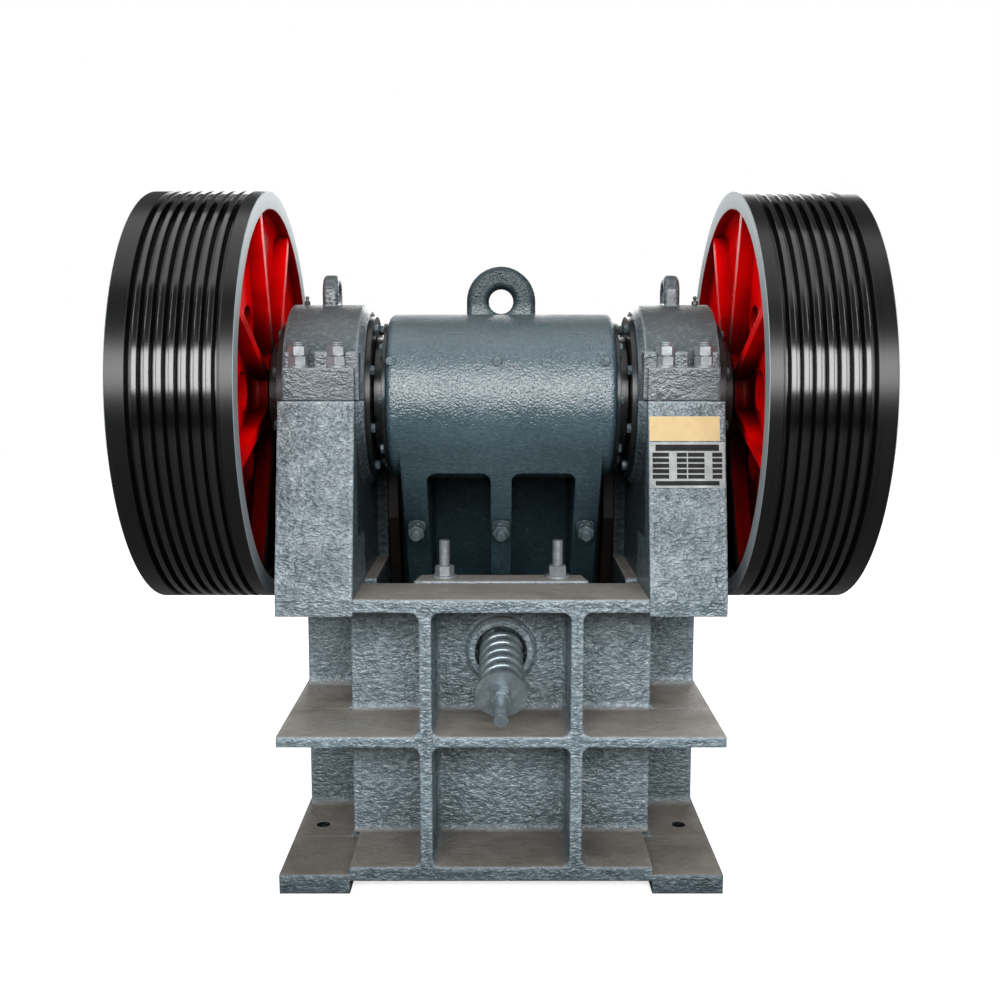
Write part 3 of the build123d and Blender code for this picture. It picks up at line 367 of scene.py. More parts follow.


# painted shade in corners, in the chamber and higher up, and a painted highlight on edges that face up
frameEnamel = castEnamel("frameEnamelOnCasting", {
    "paint": "#53646B", "paintPale": "#5F6F76", "grimeAndShadeColour": "#2A363B", "grimeAndShade": 0.35,
    "edgeMm": 13.0, "edgeWearAndHighlight": 0.9, "wearAndHighlightColour": "#A3B2BA", "rubbedAndGlint": 0.30, "softenMm": 7.0,
    "dustColour": "#9D9184", "dust": 0.85, "dustAbove": 0.15, "jointColour": "#14181B",
    "grainMm": 6.8, "fineMm": 3.4, "lumpMm": 40.0, "patchMm": 150.0, "stretch": (0.6, 1.0, 1.0),
    "grainDepth": 0.85, "fineDepth": 0.4, "lumpDepth": 0.35, "gloss": 0.16, "shine": 1.68,
    "deepMm": 40.0, "deepFrom": 0.05, "deepTo": 0.45, "deepShade": 0.35, "chamberShadeInside": 1.0,
    "upperShadeFrom": 0.46, "upperShadeTo": 0.60, "upperShade": 0.80})
# a darker copy of the frame's enamel on the bearing caps, a painted shade, with the top of the caps darkened further
shadedCapEnamel = castEnamel("shadedCapEnamelOnCasting", {
    "paint": "#2E3A3F", "paintPale": "#384449", "grimeAndShadeColour": "#20282C", "grimeAndShade": 0.3,
    "edgeMm": 6.0, "edgeWearAndHighlight": 0.8, "wearAndHighlightColour": "#8E9CA3", "rubbedAndGlint": 0.15, "softenMm": 6.0,
    "dustColour": "#45433E", "dust": 0.5, "dustAbove": 1.0, "jointColour": "#14181B",
    "grainMm": 6.8, "fineMm": 3.2, "lumpMm": 70.0, "patchMm": 90.0, "stretch": (0.8, 1.0, 1.0),
    "grainDepth": 0.24, "fineDepth": 0.25, "lumpDepth": 0.2, "gloss": 0.22, "shine": 1.65,
    "deepMm": 40.0, "deepFrom": 0.05, "deepTo": 0.45, "deepShade": 0.35, "chamberShadeInside": 0.0,
    "upperShadeFrom": 0.94, "upperShadeTo": 0.99, "upperShade": 0.85})
# painted shade: strong darkening in the jaw's recesses, and the lifting eye on top darkened
barrelEnamel = castEnamel("barrelEnamelOnCasting", {
    "paint": "#30464D", "paintPale": "#3B5159", "grimeAndShadeColour": "#1E2D34", "grimeAndShade": 0.25,
    "edgeMm": 5.0, "edgeWearAndHighlight": 0.10, "wearAndHighlightColour": "#7C8C92", "rubbedAndGlint": 0.08, "softenMm": 4.0,
    "dustColour": "#3D413F", "dust": 0.45, "dustAbove": 1.0, "jointColour": "#30464D",
    "grainMm": 6.0, "fineMm": 3.4, "lumpMm": 60.0, "patchMm": 180.0, "stretch": (0.8, 1.0, 1.0),
    "grainDepth": 0.12, "fineDepth": 0.55, "lumpDepth": 0.2, "gloss": 0.18, "shine": 1.75,
    "deepMm": 200.0, "deepFrom": 0.25, "deepTo": 0.75, "deepShade": 0.10, "chamberShadeInside": 0.0,
    "upperShadeFrom": 0.99, "upperShadeTo": 1.01, "upperShade": 0.45})


def radiusFromAxis(tree, coords, origin):
    # distance from a line through origin along X, and the place along it
    placed = addNode(tree, "Mapping", {"vector_type": "TEXTURE", "Location": origin}, {"Vector": coords})
    parts = addNode(tree, "SeparateXYZ", {}, {0: placed.outputs[0]})
    flat = addNode(tree, "CombineXYZ", {}, {"Y": parts.outputs["Y"], "Z": parts.outputs["Z"]})
    radius = addNode(tree, "VectorMath", {"operation": "LENGTH"}, {0: flat.outputs[0]}).outputs["Value"]
    return radius, parts.outputs["X"]


wheel = {
    "red": "#E30205", "redDeep": "#A50103", "rimFace": "#8F989C", "tread": "#050506", "treadWorn": "#1A1C1E",
    "grooveFrom": 0.4372, "grooveTo": 0.5680,  # the grooved lands, along the shaft
    "rimInner": 0.3345, "rimOuter": 0.3485, "rimPlane": 0.4092, "rimFarPlane": 0.6045,
    "softenMm": 3.0, "patchScale": 9.0, "grainScale": 160.0, "marksScale": 900.0,
    "hollowMetres": 0.35, "hollow": (0.22, 0.42, 0.02, 1.1),  # painted shade, dark where the web lies deep behind the rim
    "flatGloss": 0.28, "landGloss": 0.14, "redGloss": 0.36, "faceGloss": 0.50,
    "flatShine": 1.42, "landShine": 1.62, "redShine": 1.2, "redLevel": 0.15, "otherLevel": 0.5, "faceMetal": 0.4,
}


def wheelEnamel():
    # Red enamel on the cast web with painted shade where it lies deep behind the rim, a pale machined rim face, and a
    # black oiled tread with turning marks
    look = wheel
    material, tree = newMaterial("wheelEnamelAndTread")
    coords, soft = surfaceStart(tree, look["softenMm"])
    radius, across = radiusFromAxis(tree, coords, tuple(shaft))
    side = addNode(tree, "Math", {"operation": "ABSOLUTE"}, {0: across}).outputs[0]
    onRim = addNode(tree, "MapRange", {
        1: look["rimInner"] - 0.0008, 2: look["rimInner"] + 0.0004}, {0: radius}).outputs[0]
    near = addNode(tree, "MapRange", {1: look["rimPlane"], 2: look["rimPlane"] - 0.0006}, {0: side}).outputs[0]
    far = addNode(tree, "MapRange", {1: look["rimFarPlane"], 2: look["rimFarPlane"] + 0.0006}, {0: side}).outputs[0]
    face = addNode(tree, "Math", {"operation": "MAXIMUM"}, {0: near, 1: far}).outputs[0]
    bare = addNode(tree, "Math", {"operation": "MULTIPLY"}, {0: face, 1: onRim}).outputs[0]
    onTread = addNode(tree, "MapRange", {1: look["rimOuter"], 2: look["rimOuter"] + 0.001}, {0: radius}).outputs[0]
    grooved = addNode(tree, "MapRange", {
        1: look["grooveFrom"] - 0.0005, 2: look["grooveFrom"] + 0.0005}, {0: side}).outputs[0]
    past = addNode(tree, "MapRange", {
        1: look["grooveTo"] - 0.0005, 2: look["grooveTo"] + 0.0005}, {0: side}).outputs[0]
    lands = addNode(tree, "Math", {"operation": "SUBTRACT"}, {0: grooved, 1: past}).outputs[0]

    patches = addNode(tree, "TexNoise", {"Scale": look["patchScale"], "Detail": 4.0}, {"Vector": coords}).outputs[0]
    grain = addNode(tree, "TexNoise", {"Scale": look["grainScale"], "Detail": 2.0}, {"Vector": coords}).outputs[0]
    marks = addNode(tree, "TexNoise", {"noise_dimensions": "2D", "Scale": look["marksScale"], "Detail": 2.0}, {
        "Vector": addNode(tree, "CombineXYZ", {}, {"X": across, "Y": radius}).outputs[0]}).outputs[0]
    red = addNode(tree, "Mix", {"data_type": "RGBA", 6: colour(look["redDeep"]), 7: colour(look["red"])}, {
        0: addNode(tree, "MapRange", {1: 0.3, 2: 0.55}, {0: patches}).outputs[0]})
    worn = addNode(tree, "MapRange", {1: 0.45, 2: 0.75, 4: 0.35}, {0: marks}).outputs[0]
    black = addNode(tree, "Mix", {
        "data_type": "RGBA", 6: colour(look["tread"]), 7: colour(look["treadWorn"])}, {0: worn})
    # painted shade on the red where the web lies deep
    close = addNode(tree, "AmbientOcclusion", {"samples": 8, "Distance": look["hollowMetres"]}).outputs["AO"]
    shade = addNode(tree, "MapRange", dict(zip((1, 2, 3, 4), look["hollow"])), {0: close}).outputs[0]
    red = addNode(tree, "Mix", {"data_type": "RGBA", "blend_type": "MULTIPLY", 0: 1.0}, {6: red.outputs[2], 7: shade})
    base = addNode(tree, "Mix", {"data_type": "RGBA"}, {0: onTread, 6: red.outputs[2], 7: black.outputs[2]})
    base = addNode(tree, "Mix", {"data_type": "RGBA", 7: colour(look["rimFace"])}, {0: bare, 6: base.outputs[2]})
    gloss = addNode(tree, "Mix", {2: look["flatGloss"], 3: look["landGloss"]}, {0: lands}).outputs[0]
    gloss = addNode(tree, "Mix", {2: look["redGloss"]}, {0: onTread, 3: gloss}).outputs[0]
    gloss = addNode(tree, "Mix", {3: look["faceGloss"]}, {0: bare, 2: gloss}).outputs[0]
    metal = addNode(tree, "Math", {"operation": "MULTIPLY", 1: look["faceMetal"]}, {0: bare}).outputs[0]
    lathe = addNode(tree, "Bump", {"Strength": 0.10, "Distance": 0.0004}, {"Height": marks, "Normal": soft})
    cast = addNode(tree, "Bump", {"Strength": 0.22, "Distance": 0.0012}, {"Height": grain, "Normal": soft})
    normal = addNode(tree, "Mix", {"data_type": "VECTOR"}, {0: onRim, 4: cast.outputs[0], 5: lathe.outputs[0]})
    shine = addNode(tree, "Mix", {2: look["flatShine"], 3: look["landShine"]}, {0: lands}).outputs[0]
    shine = addNode(tree, "Mix", {2: look["redShine"]}, {0: onTread, 3: shine}).outputs[0]
    level = addNode(tree, "Mix", {2: look["redLevel"], 3: look["otherLevel"]}, {0: onRim}).outputs[0]
    shader = addNode(tree, "BsdfPrincipled", {}, {
        "Base Color": base.outputs[2], "Roughness": gloss, "Metallic": metal, "IOR": shine, "Specular IOR Level": level,
        "Normal": normal.outputs[1]})
    addNode(tree, "OutputMaterial", {}, {"Surface": shader.outputs[0]})
    return material


def plainFinish(name, look):
    # handling marks, fine pits and a little old oil
    material, tree = newMaterial(name)
    coords, soft = surfaceStart(tree, look["softenMm"])
    patches = addNode(tree, "TexNoise", {"Scale": 1000 / look["patchMm"], "Detail": 4.0, "Roughness": 0.65},
                      {"Vector": coords}).outputs[0]
    pits = addNode(tree, "TexNoise", {"Scale": 1000 / look["pitMm"], "Detail": 3.0}, {"Vector": coords}).outputs[0]
    tone = addNode(tree, "MapRange", {1: 0.35, 2: 0.65}, {0: patches}).outputs[0]
    base = addNode(tree, "Mix", {"data_type": "RGBA", 6: colour(look["base"]), 7: colour(look["stain"])}, {0: tone})
    gloss = addNode(tree, "MapRange", {
        1: 0.3, 2: 0.7, 3: look["gloss"], 4: look["gloss"] + 0.2}, {0: patches}).outputs[0]
    rough = addNode(tree, "Bump", {"Strength": look["pitDepth"], "Distance": 0.0008}, {"Height": pits, "Normal": soft})
    shader = addNode(tree, "BsdfPrincipled", {"Metallic": look["metallic"]}, {
        "Base Color": base.outputs[2], "Roughness": gloss, "Normal": rough.outputs[0]})
    addNode(tree, "OutputMaterial", {}, {"Surface": shader.outputs[0]})
    return material


wheelPaint = wheelEnamel()
zincSteel = plainFinish("zincPlatedSteel", {  # nuts and studs, dulled in the open
    "base": "#979EA1", "stain": "#7A8083", "metallic": 0.5, "gloss": 0.36, "softenMm": 0.8,
    "patchMm": 24.0, "pitMm": 1.6, "pitDepth": 0.2})
turnedSteel = plainFinish("turnedSteel", {  # shaft ends and rings, oiled
    "base": "#6B7175", "stain": "#4A4D4F", "metallic": 0.8, "gloss": 0.30, "softenMm": 1.5,
    "patchMm": 60.0, "pitMm": 3.0, "pitDepth": 0.15})
wearSteel = plainFinish("manganeseWearSteel", {  # jaw and cheek plates, brown from stone
    "base": "#262423", "stain": "#2E2520", "metallic": 0.45, "gloss": 0.46, "softenMm": 2.5,
    "patchMm": 70.0, "pitMm": 4.0, "pitDepth": 0.6})
roughSteel = plainFinish("roughCastSteel", {  # toggle, seats and wedges, never painted
    "base": "#2A2D2F", "stain": "#332D28", "metallic": 0.3, "gloss": 0.5, "softenMm": 2.0,
    "patchMm": 60.0, "pitMm": 5.0, "pitDepth": 0.6})
coverBlack = plainFinish("coverBlackEnamel", {  # bearing covers
    "base": "#06090B", "stain": "#0E1214", "metallic": 0.0, "gloss": 0.22, "softenMm": 1.2,
    "patchMm": 50.0, "pitMm": 6.0, "pitDepth": 0.12})
springSteel = plainFinish("springPaintedSteel", {  # spring, rod and disc, thinly painted
    "base": "#6E7A80", "stain": "#8B979C", "metallic": 0.55, "gloss": 0.15, "softenMm": 0.5,
    "patchMm": 22.0, "pitMm": 3.0, "pitDepth": 0.2})
paintedSteel = plainFinish("greyPaintedSteel", {  # bolt heads painted over with the casting
    "base": "#3C494F", "stain": "#4C585D", "metallic": 0.2, "gloss": 0.30, "softenMm": 0.5,
    "patchMm": 18.0, "pitMm": 2.5, "pitDepth": 0.3})
aluminiumSheet = plainFinish("aluminiumSheet", {  # the blank metal plate, dulled by handling
    "base": "#8F9493", "stain": "#808584", "metallic": 0.4, "gloss": 0.5, "softenMm": 0.2,
    "patchMm": 30.0, "pitMm": 1.0, "pitDepth": 0.08})
cardPaper = plainFinish("creamCard", {  # the blank card, yellowed
    "base": "#C2AC7E", "stain": "#B7A173", "metallic": 0.0, "gloss": 0.6, "softenMm": 0.2,
    "patchMm": 40.0, "pitMm": 2.0, "pitDepth": 0.05})
plateInk = plainFinish("printedInk", {  # matt black fields on the metal plate
    "base": "#070808", "stain": "#0B0C0C", "metallic": 0.0, "gloss": 0.75, "softenMm": 0.2,
    "patchMm": 30.0, "pitMm": 2.0, "pitDepth": 0.05})

finishOf = {
    "frame_enamel": frameEnamel, "wheel_red": wheelPaint, "manganese_steel": wearSteel, "machined_steel": turnedSteel,
    "zinc_steel": zincSteel, "black_steel": coverBlack, "spring_steel": springSteel, "cast_steel": roughSteel,
}
ownFinish = {
    "swing_jaw_body": barrelEnamel, "tension_rod": springSteel, "bearing_cap_left": shadedCapEnamel,
    "bearing_cap_right": shadedCapEnamel,
}


def paintNodes():
    for row in frame["record"]["subparts"]:
        mesh = nodes[row["node"]].data
        mesh.materials.clear()
        mesh.materials.append(ownFinish.get(row["node"], finishOf[row["material_slot"]]))
        mesh.polygons.foreach_set("material_index", [0] * len(mesh.polygons))
    print("nodes painted")


paintNodes()


# Small pieces

def pickOnly(thing):
    bpy.ops.object.select_all(action="DESELECT")
    thing.select_set(True)
    bpy.context.view_layer.objects.active = thing


def solidDisc(radius, height, sides=32):
    bpy.ops.object.select_all(action="DESELECT")
    bpy.ops.mesh.primitive_cylinder_add(vertices=sides, radius=radius, depth=height, location=(0, 0, height / 2))
    return bpy.context.object


def turnedEnds(thing, inward, rise):
    # the flat ends drawn in to a cone, as a lathe leaves them
    pickOnly(thing)
    bpy.ops.object.mode_set(mode="EDIT")
    bpy.ops.mesh.select_mode(type="FACE")
    bpy.ops.mesh.select_all(action="DESELECT")
    bpy.ops.mesh.select_face_by_sides(number=4, type="GREATER")
    bpy.ops.mesh.inset(thickness=inward, depth=rise, use_individual=True)
    bpy.ops.object.mode_set(mode="OBJECT")


nutCorner = {"rise": 0.055, "inward": 0.105}  # of the width across the flats
washerEdge = {"rise": 0.25, "inward": 0.3}  # of the thickness
threadDepth = 0.42  # of the pitch


def hexPiece(across, height):
    # a hexagon bar cut through by a turned blank, which leaves the curved corners of a real nut
    corner = across / 3 ** 0.5
    bar = solidDisc(corner, height, 6)
    rise = nutCorner["rise"] * across
    inward = nutCorner["inward"] * across
    blank = solidDisc(corner + 0.0001, height - 2 * rise, 48)
    blank.location.z = height / 2
    turnedEnds(blank, inward, rise)
    pickOnly(bar)
    cut = bar.modifiers.new("cut", "BOOLEAN")
    cut.operation = "INTERSECT"
    cut.object = blank
    bpy.ops.object.modifier_apply(modifier="cut")
    bpy.data.objects.remove(blank)
    return bar


def washerPiece(radius, height):
    washer = solidDisc(radius, height, 40)
    turnedEnds(washer, height * washerEdge["inward"], height * washerEdge["rise"])
    return washer


def threadedPiece(radius, length, pitch):
    # drawn up ring by ring between the thread's crests and roots
    depth = pitch * threadDepth
    bpy.ops.object.select_all(action="DESELECT")
    bpy.ops.mesh.primitive_circle_add(vertices=20, radius=radius - depth, fill_type="NGON", location=(0, 0, 0))
    stud = bpy.context.object
    bpy.ops.object.mode_set(mode="EDIT")
    bpy.ops.mesh.select_all(action="SELECT")
    turns = int(length / pitch)
    grow = radius / (radius - depth)
    for turn in range(turns):
        for scale in (grow, 1 / grow):
            bpy.ops.mesh.extrude_region_move(TRANSFORM_OT_translate={"value": (0, 0, length / turns / 2)})
            bpy.ops.transform.resize(value=(scale, scale, 1))
    bpy.ops.mesh.select_all(action="SELECT")
    bpy.ops.mesh.normals_make_consistent(inside=False)
    bpy.ops.object.mode_set(mode="OBJECT")
    return stud


def joined(parts):
    # parts are (object, height above the seat, turn) and become one mesh
    for part, lift, turn in parts:
        part.matrix_world = Matrix.Translation((0, 0, lift)) @ Matrix.Rotation(turn, 4, "Z") @ part.matrix_world
    pickOnly(parts[0][0])
    for part, lift, turn in parts:
        part.select_set(True)
    bpy.ops.object.join()
    bpy.ops.object.transform_apply(location=True, rotation=True, scale=True)
    return bpy.context.object


def seatedAt(place, outward, turn=0.0):
    facing = Vector(outward).to_track_quat("Z", "Y").to_matrix().to_4x4()
    return Matrix.Translation(place) @ facing @ Matrix.Rotation(turn, 4, "Z")


def setOut(name, model, places, body, material, softAngle=32):
    # one copy of the model, with a mesh of its own, at each place, then all of them as one piece
    copies = []
    for place in places:
        copy = model.copy()
        copy.data = model.data.copy()
        bpy.context.scene.collection.objects.link(copy)
        copy.matrix_world = place @ model.matrix_world
        copies.append(copy)
    bpy.data.objects.remove(model)
    pickOnly(copies[0])
    for copy in copies:
        copy.select_set(True)
    if len(copies) > 1:
        bpy.ops.object.join()
    piece = bpy.context.object
    bpy.ops.object.transform_apply(location=True, rotation=True, scale=True)
    bpy.ops.object.shade_smooth_by_angle(angle=radians(softAngle))
    return dress(piece, name, body, material)


def dress(piece, name, body, material):
    piece.name = name
    piece.data.name = name
    piece.data.materials.clear()
    piece.data.materials.append(material)
    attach(piece, body)
    return piece


capStuds = {"x": (0.2775, 0.3425), "y": 0.165, "earTop": 0.055, "across": 0.030, "nut": 0.0165, "washer": 0.003,
            "washerRadius": 0.0185, "studRadius": 0.0100, "studEnd": 0.007, "pitch": 0.0025,
            "turns": (30, 21), "spread": (0.35, 0.8)}


def makeCapStuds():
    look = capStuds
    top = look["washer"] + 2 * look["nut"]
    model = joined([
        (washerPiece(look["washerRadius"], look["washer"]), 0.0, 0.0),
        (hexPiece(look["across"], look["nut"]), look["washer"], radians(look["turns"][0])),
        (hexPiece(look["across"], look["nut"]), look["washer"] + look["nut"], radians(look["turns"][1])),
        (threadedPiece(look["studRadius"], look["studEnd"], look["pitch"]), top, 0.0)])
    bySide, byPlace = look["spread"]
    places = []
    for side in (-1, 1):
        for x in look["x"]:
            for end in (-1, 1):
                spot = shaft + Vector((side * x, end * look["y"], look["earTop"]))
                places.append(seatedAt(spot, (0, 0, 1), bySide * side + byPlace * x * end))
    setOut("capStudSets", model, places, "frame", zincSteel)


nipples = {"x": 0.352, "height": 0.166, "base": 0.0065, "across": 0.010, "neck": 0.0028, "neckHeight": 0.004,
           "sink": 0.0005, "turn": 0.3, "head": ((0.0012, 1.3), (0.0024, 1.0), (0.0016, 0.62), (0.0004, 0.4))}


def makeNipples():
    look = nipples
    # a hexagon foot with a turned neck and head
    neck = solidDisc(look["neck"], look["neckHeight"], 16)
    pickOnly(neck)
    bpy.ops.object.mode_set(mode="EDIT")
    bpy.ops.mesh.select_mode(type="FACE")
    bpy.ops.mesh.select_all(action="DESELECT")
    bpy.ops.object.mode_set(mode="OBJECT")
    top = max(neck.data.polygons, key=lambda face: face.center.z)
    top.select = True
    bpy.ops.object.mode_set(mode="EDIT")
    for rise, scale in look["head"]:
        bpy.ops.mesh.extrude_region_move(TRANSFORM_OT_translate={"value": (0, 0, rise)})
        bpy.ops.transform.resize(value=(scale, scale, 1))
    bpy.ops.object.mode_set(mode="OBJECT")
    foot = hexPiece(look["across"], look["base"])
    model = joined([(foot, 0.0, 0.0), (neck, look["base"] - look["sink"], 0.0)])
    spots = [shaft + Vector((side * look["x"], 0, look["height"])) for side in (-1, 1)]
    places = [seatedAt(spot, (0, 0, 1), look["turn"]) for spot in spots]
    setOut("greaseNipples", model, places, "frame", turnedSteel)


ringBolts = {
    "innerCoverBolts": {"count": 8, "radius": 0.131, "plane": 0.225, "outward": -1, "across": 0.015, "head": 0.0055,
                        "body": "frame", "firstTurn": 22.5},
    "outerCoverBolts": {"count": 8, "radius": 0.119, "plane": 0.388, "outward": 1, "across": 0.017, "head": 0.0065,
                        "body": "frame", "firstTurn": 22.5},
    "barrelEndBolts": {"count": 8, "radius": 0.124, "plane": 0.206, "outward": 1, "across": 0.015, "head": 0.0055,
                       "body": "swing_jaw", "firstTurn": 0.0},
}
springWasher = {"wider": 0.62, "height": 0.0014, "head": 0.0012, "turn": 0.9}  # under each of these bolts


def makeRingBolts():
    for name, look in ringBolts.items():
        model = joined([
            (washerPiece(look["across"] * springWasher["wider"], springWasher["height"]), 0.0, 0.0),
            (hexPiece(look["across"], look["head"]), springWasher["head"], 0.0)])
        places = []
        for side in (-1, 1):
            for number in range(look["count"]):
                angle = radians(look["firstTurn"] + 360 / look["count"] * number)
                spot = Vector((side * look["plane"], look["radius"] * cos(angle), look["radius"] * sin(angle)))
                spot += Vector((0, shaft.y, shaft.z))
                places.append(seatedAt(spot, (side * look["outward"], 0, 0), springWasher["turn"] * number))
        setOut(name, model, places, look["body"], paintedSteel)


barrelPlugs = {"x": (-0.190, -0.007, 0.179), "turn": 26.0, "radius": 0.149, "size": 0.0085, "stand": 0.0022,
               "sink": 0.004, "socket": 0.3, "socketDepth": 0.0016}


def makeBarrelPlugs():
    look = barrelPlugs
    # a round plug with a sunk socket, let into the barrel's shoulder
    model = solidDisc(look["size"], look["stand"] + look["sink"], 28)
    model.location.z -= look["sink"]
    turnedEnds(model, 0.0015, 0.0006)
    pickOnly(model)
    bpy.ops.object.mode_set(mode="EDIT")
    bpy.ops.mesh.inset(thickness=look["size"] * look["socket"], use_individual=True)
    bpy.ops.transform.translate(value=(0, 0, -look["socketDepth"]))
    bpy.ops.object.mode_set(mode="OBJECT")
    bpy.ops.object.transform_apply(location=True, rotation=True, scale=True)
    angle = radians(look["turn"])
    outward = Vector((0, -cos(angle), sin(angle)))
    places = [seatedAt(shaft + Vector((x, 0, 0)) + look["radius"] * outward, outward) for x in look["x"]]
    setOut("barrelPlugs", model, places, "swing_jaw", barrelEnamel)


jawBolts = {"x": (-0.1555, 0.0, 0.1555), "across": 0.0275, "nut": 0.013, "washer": 0.003, "washerRadius": 0.0145,
            "radius": 0.009, "end": 0.0135, "pitch": 0.0022, "boss": 0.0165, "bossDepth": 0.009, "grip": 0.2194,
            "headRadius": 0.0148, "head": 0.012, "along": 0.100, "depth": 0.2524, "plateTop": (0, 0.190, -0.060),
            "turns": (0.2, 0.55), "spread": 3}
jawDown = Vector((0, 0.33746, -0.94134))  # down the swing jaw's face
jawBack = Vector((0, -0.94134, -0.33746))  # square to it, away from the stone


def makeJawBolts():
    look = jawBolts
    # the spot-faced boss, washer, two nuts and thread at the rear, and the shank and head that the plate hides
    boss = solidDisc(look["boss"], look["bossDepth"], 36)
    turnedEnds(boss, 0.001, 0.0006)
    head = solidDisc(look["headRadius"], look["head"], 32)
    turnedEnds(head, 0.001, 0.0004)
    top = look["washer"] + 2 * look["nut"]
    model = joined([
        (boss, -look["bossDepth"], 0.0),
        (washerPiece(look["washerRadius"], look["washer"]), 0.0, 0.0),
        (hexPiece(look["across"], look["nut"]), look["washer"], look["turns"][0]),
        (hexPiece(look["across"], look["nut"]), look["washer"] + look["nut"], look["turns"][1]),
        (threadedPiece(look["radius"], look["end"], look["pitch"]), top, 0.0),
        (solidDisc(look["radius"], look["grip"], 20), -look["grip"], 0.0),
        (head, -look["grip"] - look["head"], 0.0)])
    start = shaft + Vector(look["plateTop"]) + look["along"] * jawDown + look["depth"] * jawBack
    places = [seatedAt(start + Vector((x, 0, 0)), jawBack, look["spread"] * x) for x in look["x"]]
    piece = setOut("jawBoltSets", model, places, "swing_jaw", paintedSteel)
    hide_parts("jaw_plate_bolts")


wedgeStuds = {"washer": 0.0035, "washerRadius": 0.0225, "across": 0.030, "nut": 0.0185, "radius": 0.0100,
              "pitch": 0.0025, "flangeTop": 0.514, "threadStart": 0.010, "turns": {"left": 0.55, "right": -0.05}}


def makeWedgeStuds():
    look = wedgeStuds
    flange, start = look["flangeTop"], look["threadStart"]
    for side, turn in look["turns"].items():
        low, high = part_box("adjusting_stud_" + side)
        spot = Vector(((low.x + high.x) / 2, (low.y + high.y) / 2, flange))
        model = joined([
            (washerPiece(look["washerRadius"], look["washer"]), 0.0, 0.0),
            (hexPiece(look["across"], look["nut"]), look["washer"], 0.0),
            (threadedPiece(look["radius"], high.z - flange - start, look["pitch"]), start, 0.0),
            (solidDisc(look["radius"], flange + start - low.z, 20), low.z - flange, 0.0)])
        piece = setOut("wedgeStud_" + side, model, [seatedAt(spot, (0, 0, 1), turn)], "frame", zincSteel)
        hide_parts("adjusting_stud_" + side)


rodSlope = radians(17.7)
rodAlong = Vector((0, cos(rodSlope), sin(rodSlope)))  # the tension rod rises from its nut towards the jaw
springBoss = Vector((0, -0.310, 0.388))
nutSeat = 0.135 / cos(rodSlope)  # from the boss out to the far face of the spring's disc

coil = {"turns": 6, "coilRadius": 0.0325, "wire": 0.0068, "keep": 0.83, "disc": 0.008, "inBoss": 0.028,
        "gap": 0.0003, "steps": 40, "turn": 1.2}


def makeSpring():
    look = coil
    start = springBoss - rodAlong * (nutSeat - look["disc"])
    end = springBoss + rodAlong * look["inBoss"]
    length = (end - start).length - 2 * look["wire"] - 2 * look["gap"]
    # the wire's section, screwed along the rod, with its two ends closed
    bpy.ops.object.select_all(action="DESELECT")
    bpy.ops.mesh.primitive_circle_add(vertices=14, radius=look["wire"], location=(0, 0, 0))
    wire = bpy.context.object
    bpy.ops.object.mode_set(mode="EDIT")
    bpy.ops.mesh.select_all(action="SELECT")
    bpy.ops.transform.rotate(value=pi / 2, orient_axis="X", center_override=(0, 0, 0))
    bpy.ops.transform.translate(value=(look["coilRadius"], 0, 0))
    bpy.ops.object.mode_set(mode="OBJECT")
    turned = wire.modifiers.new("coil", "SCREW")
    turned.steps = look["steps"]
    turned.render_steps = look["steps"]
    turned.iterations = look["turns"]
    turned.screw_offset = length / look["turns"]
    turned.use_normal_calculate = True
    bpy.ops.object.modifier_apply(modifier="coil")
    bpy.ops.object.mode_set(mode="EDIT")
    bpy.ops.mesh.select_mode(type="EDGE")
    bpy.ops.mesh.select_all(action="DESELECT")
    bpy.ops.mesh.select_non_manifold()
    bpy.ops.mesh.fill()
    bpy.ops.mesh.select_all(action="SELECT")
    bpy.ops.mesh.normals_make_consistent(inside=False)
    bpy.ops.object.mode_set(mode="OBJECT")
    place = seatedAt(start + rodAlong * (look["wire"] + look["gap"]), rodAlong, look["turn"])
    piece = setOut("tensionSpringCoil", wire, [place], "frame", springSteel, 60)
    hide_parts("tension_spring")
    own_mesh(piece)


rodNut = {"across": 0.030, "height": 0.0185, "lock": 0.009, "lockTurn": 0.3, "turn": 0.2}


def makeRodNut():
    look = rodNut
    model = joined([
        (hexPiece(look["across"], look["height"] - look["lock"]), 0.0, 0.0),
        (hexPiece(look["across"], look["lock"]), look["height"] - look["lock"], look["lockTurn"])])
    place = seatedAt(springBoss - rodAlong * nutSeat, -rodAlong, look["turn"])
    piece = setOut("rodNuts", model, [place], "rod", springSteel)
    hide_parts("tension_rod_nut")


# card and metal are (left, right, top, bottom), the heights counted down from the shaft
plates = {"lean": 0.068 / 0.326, "front": 0.182, "card": (0.2485, 0.3665, 0.0258, 0.0665),
          "metal": (0.2480, 0.3745, 0.0685, 0.1440), "cardThick": 0.0006, "metalThick": 0.0012, "inkThick": 0.0001,
          "rivet": 0.0021, "rivetHeight": 0.0012, "margin": 0.004, "barInset": 0.010, "topBar": 0.0105,
          "bottomBar": 0.0075, "rows": 5, "columns": 4, "rowsFrom": 0.0175, "rowStep": 0.0090, "rowHeight": 0.0068,
          "columnGap": 0.001, "valueInset": 0.012}


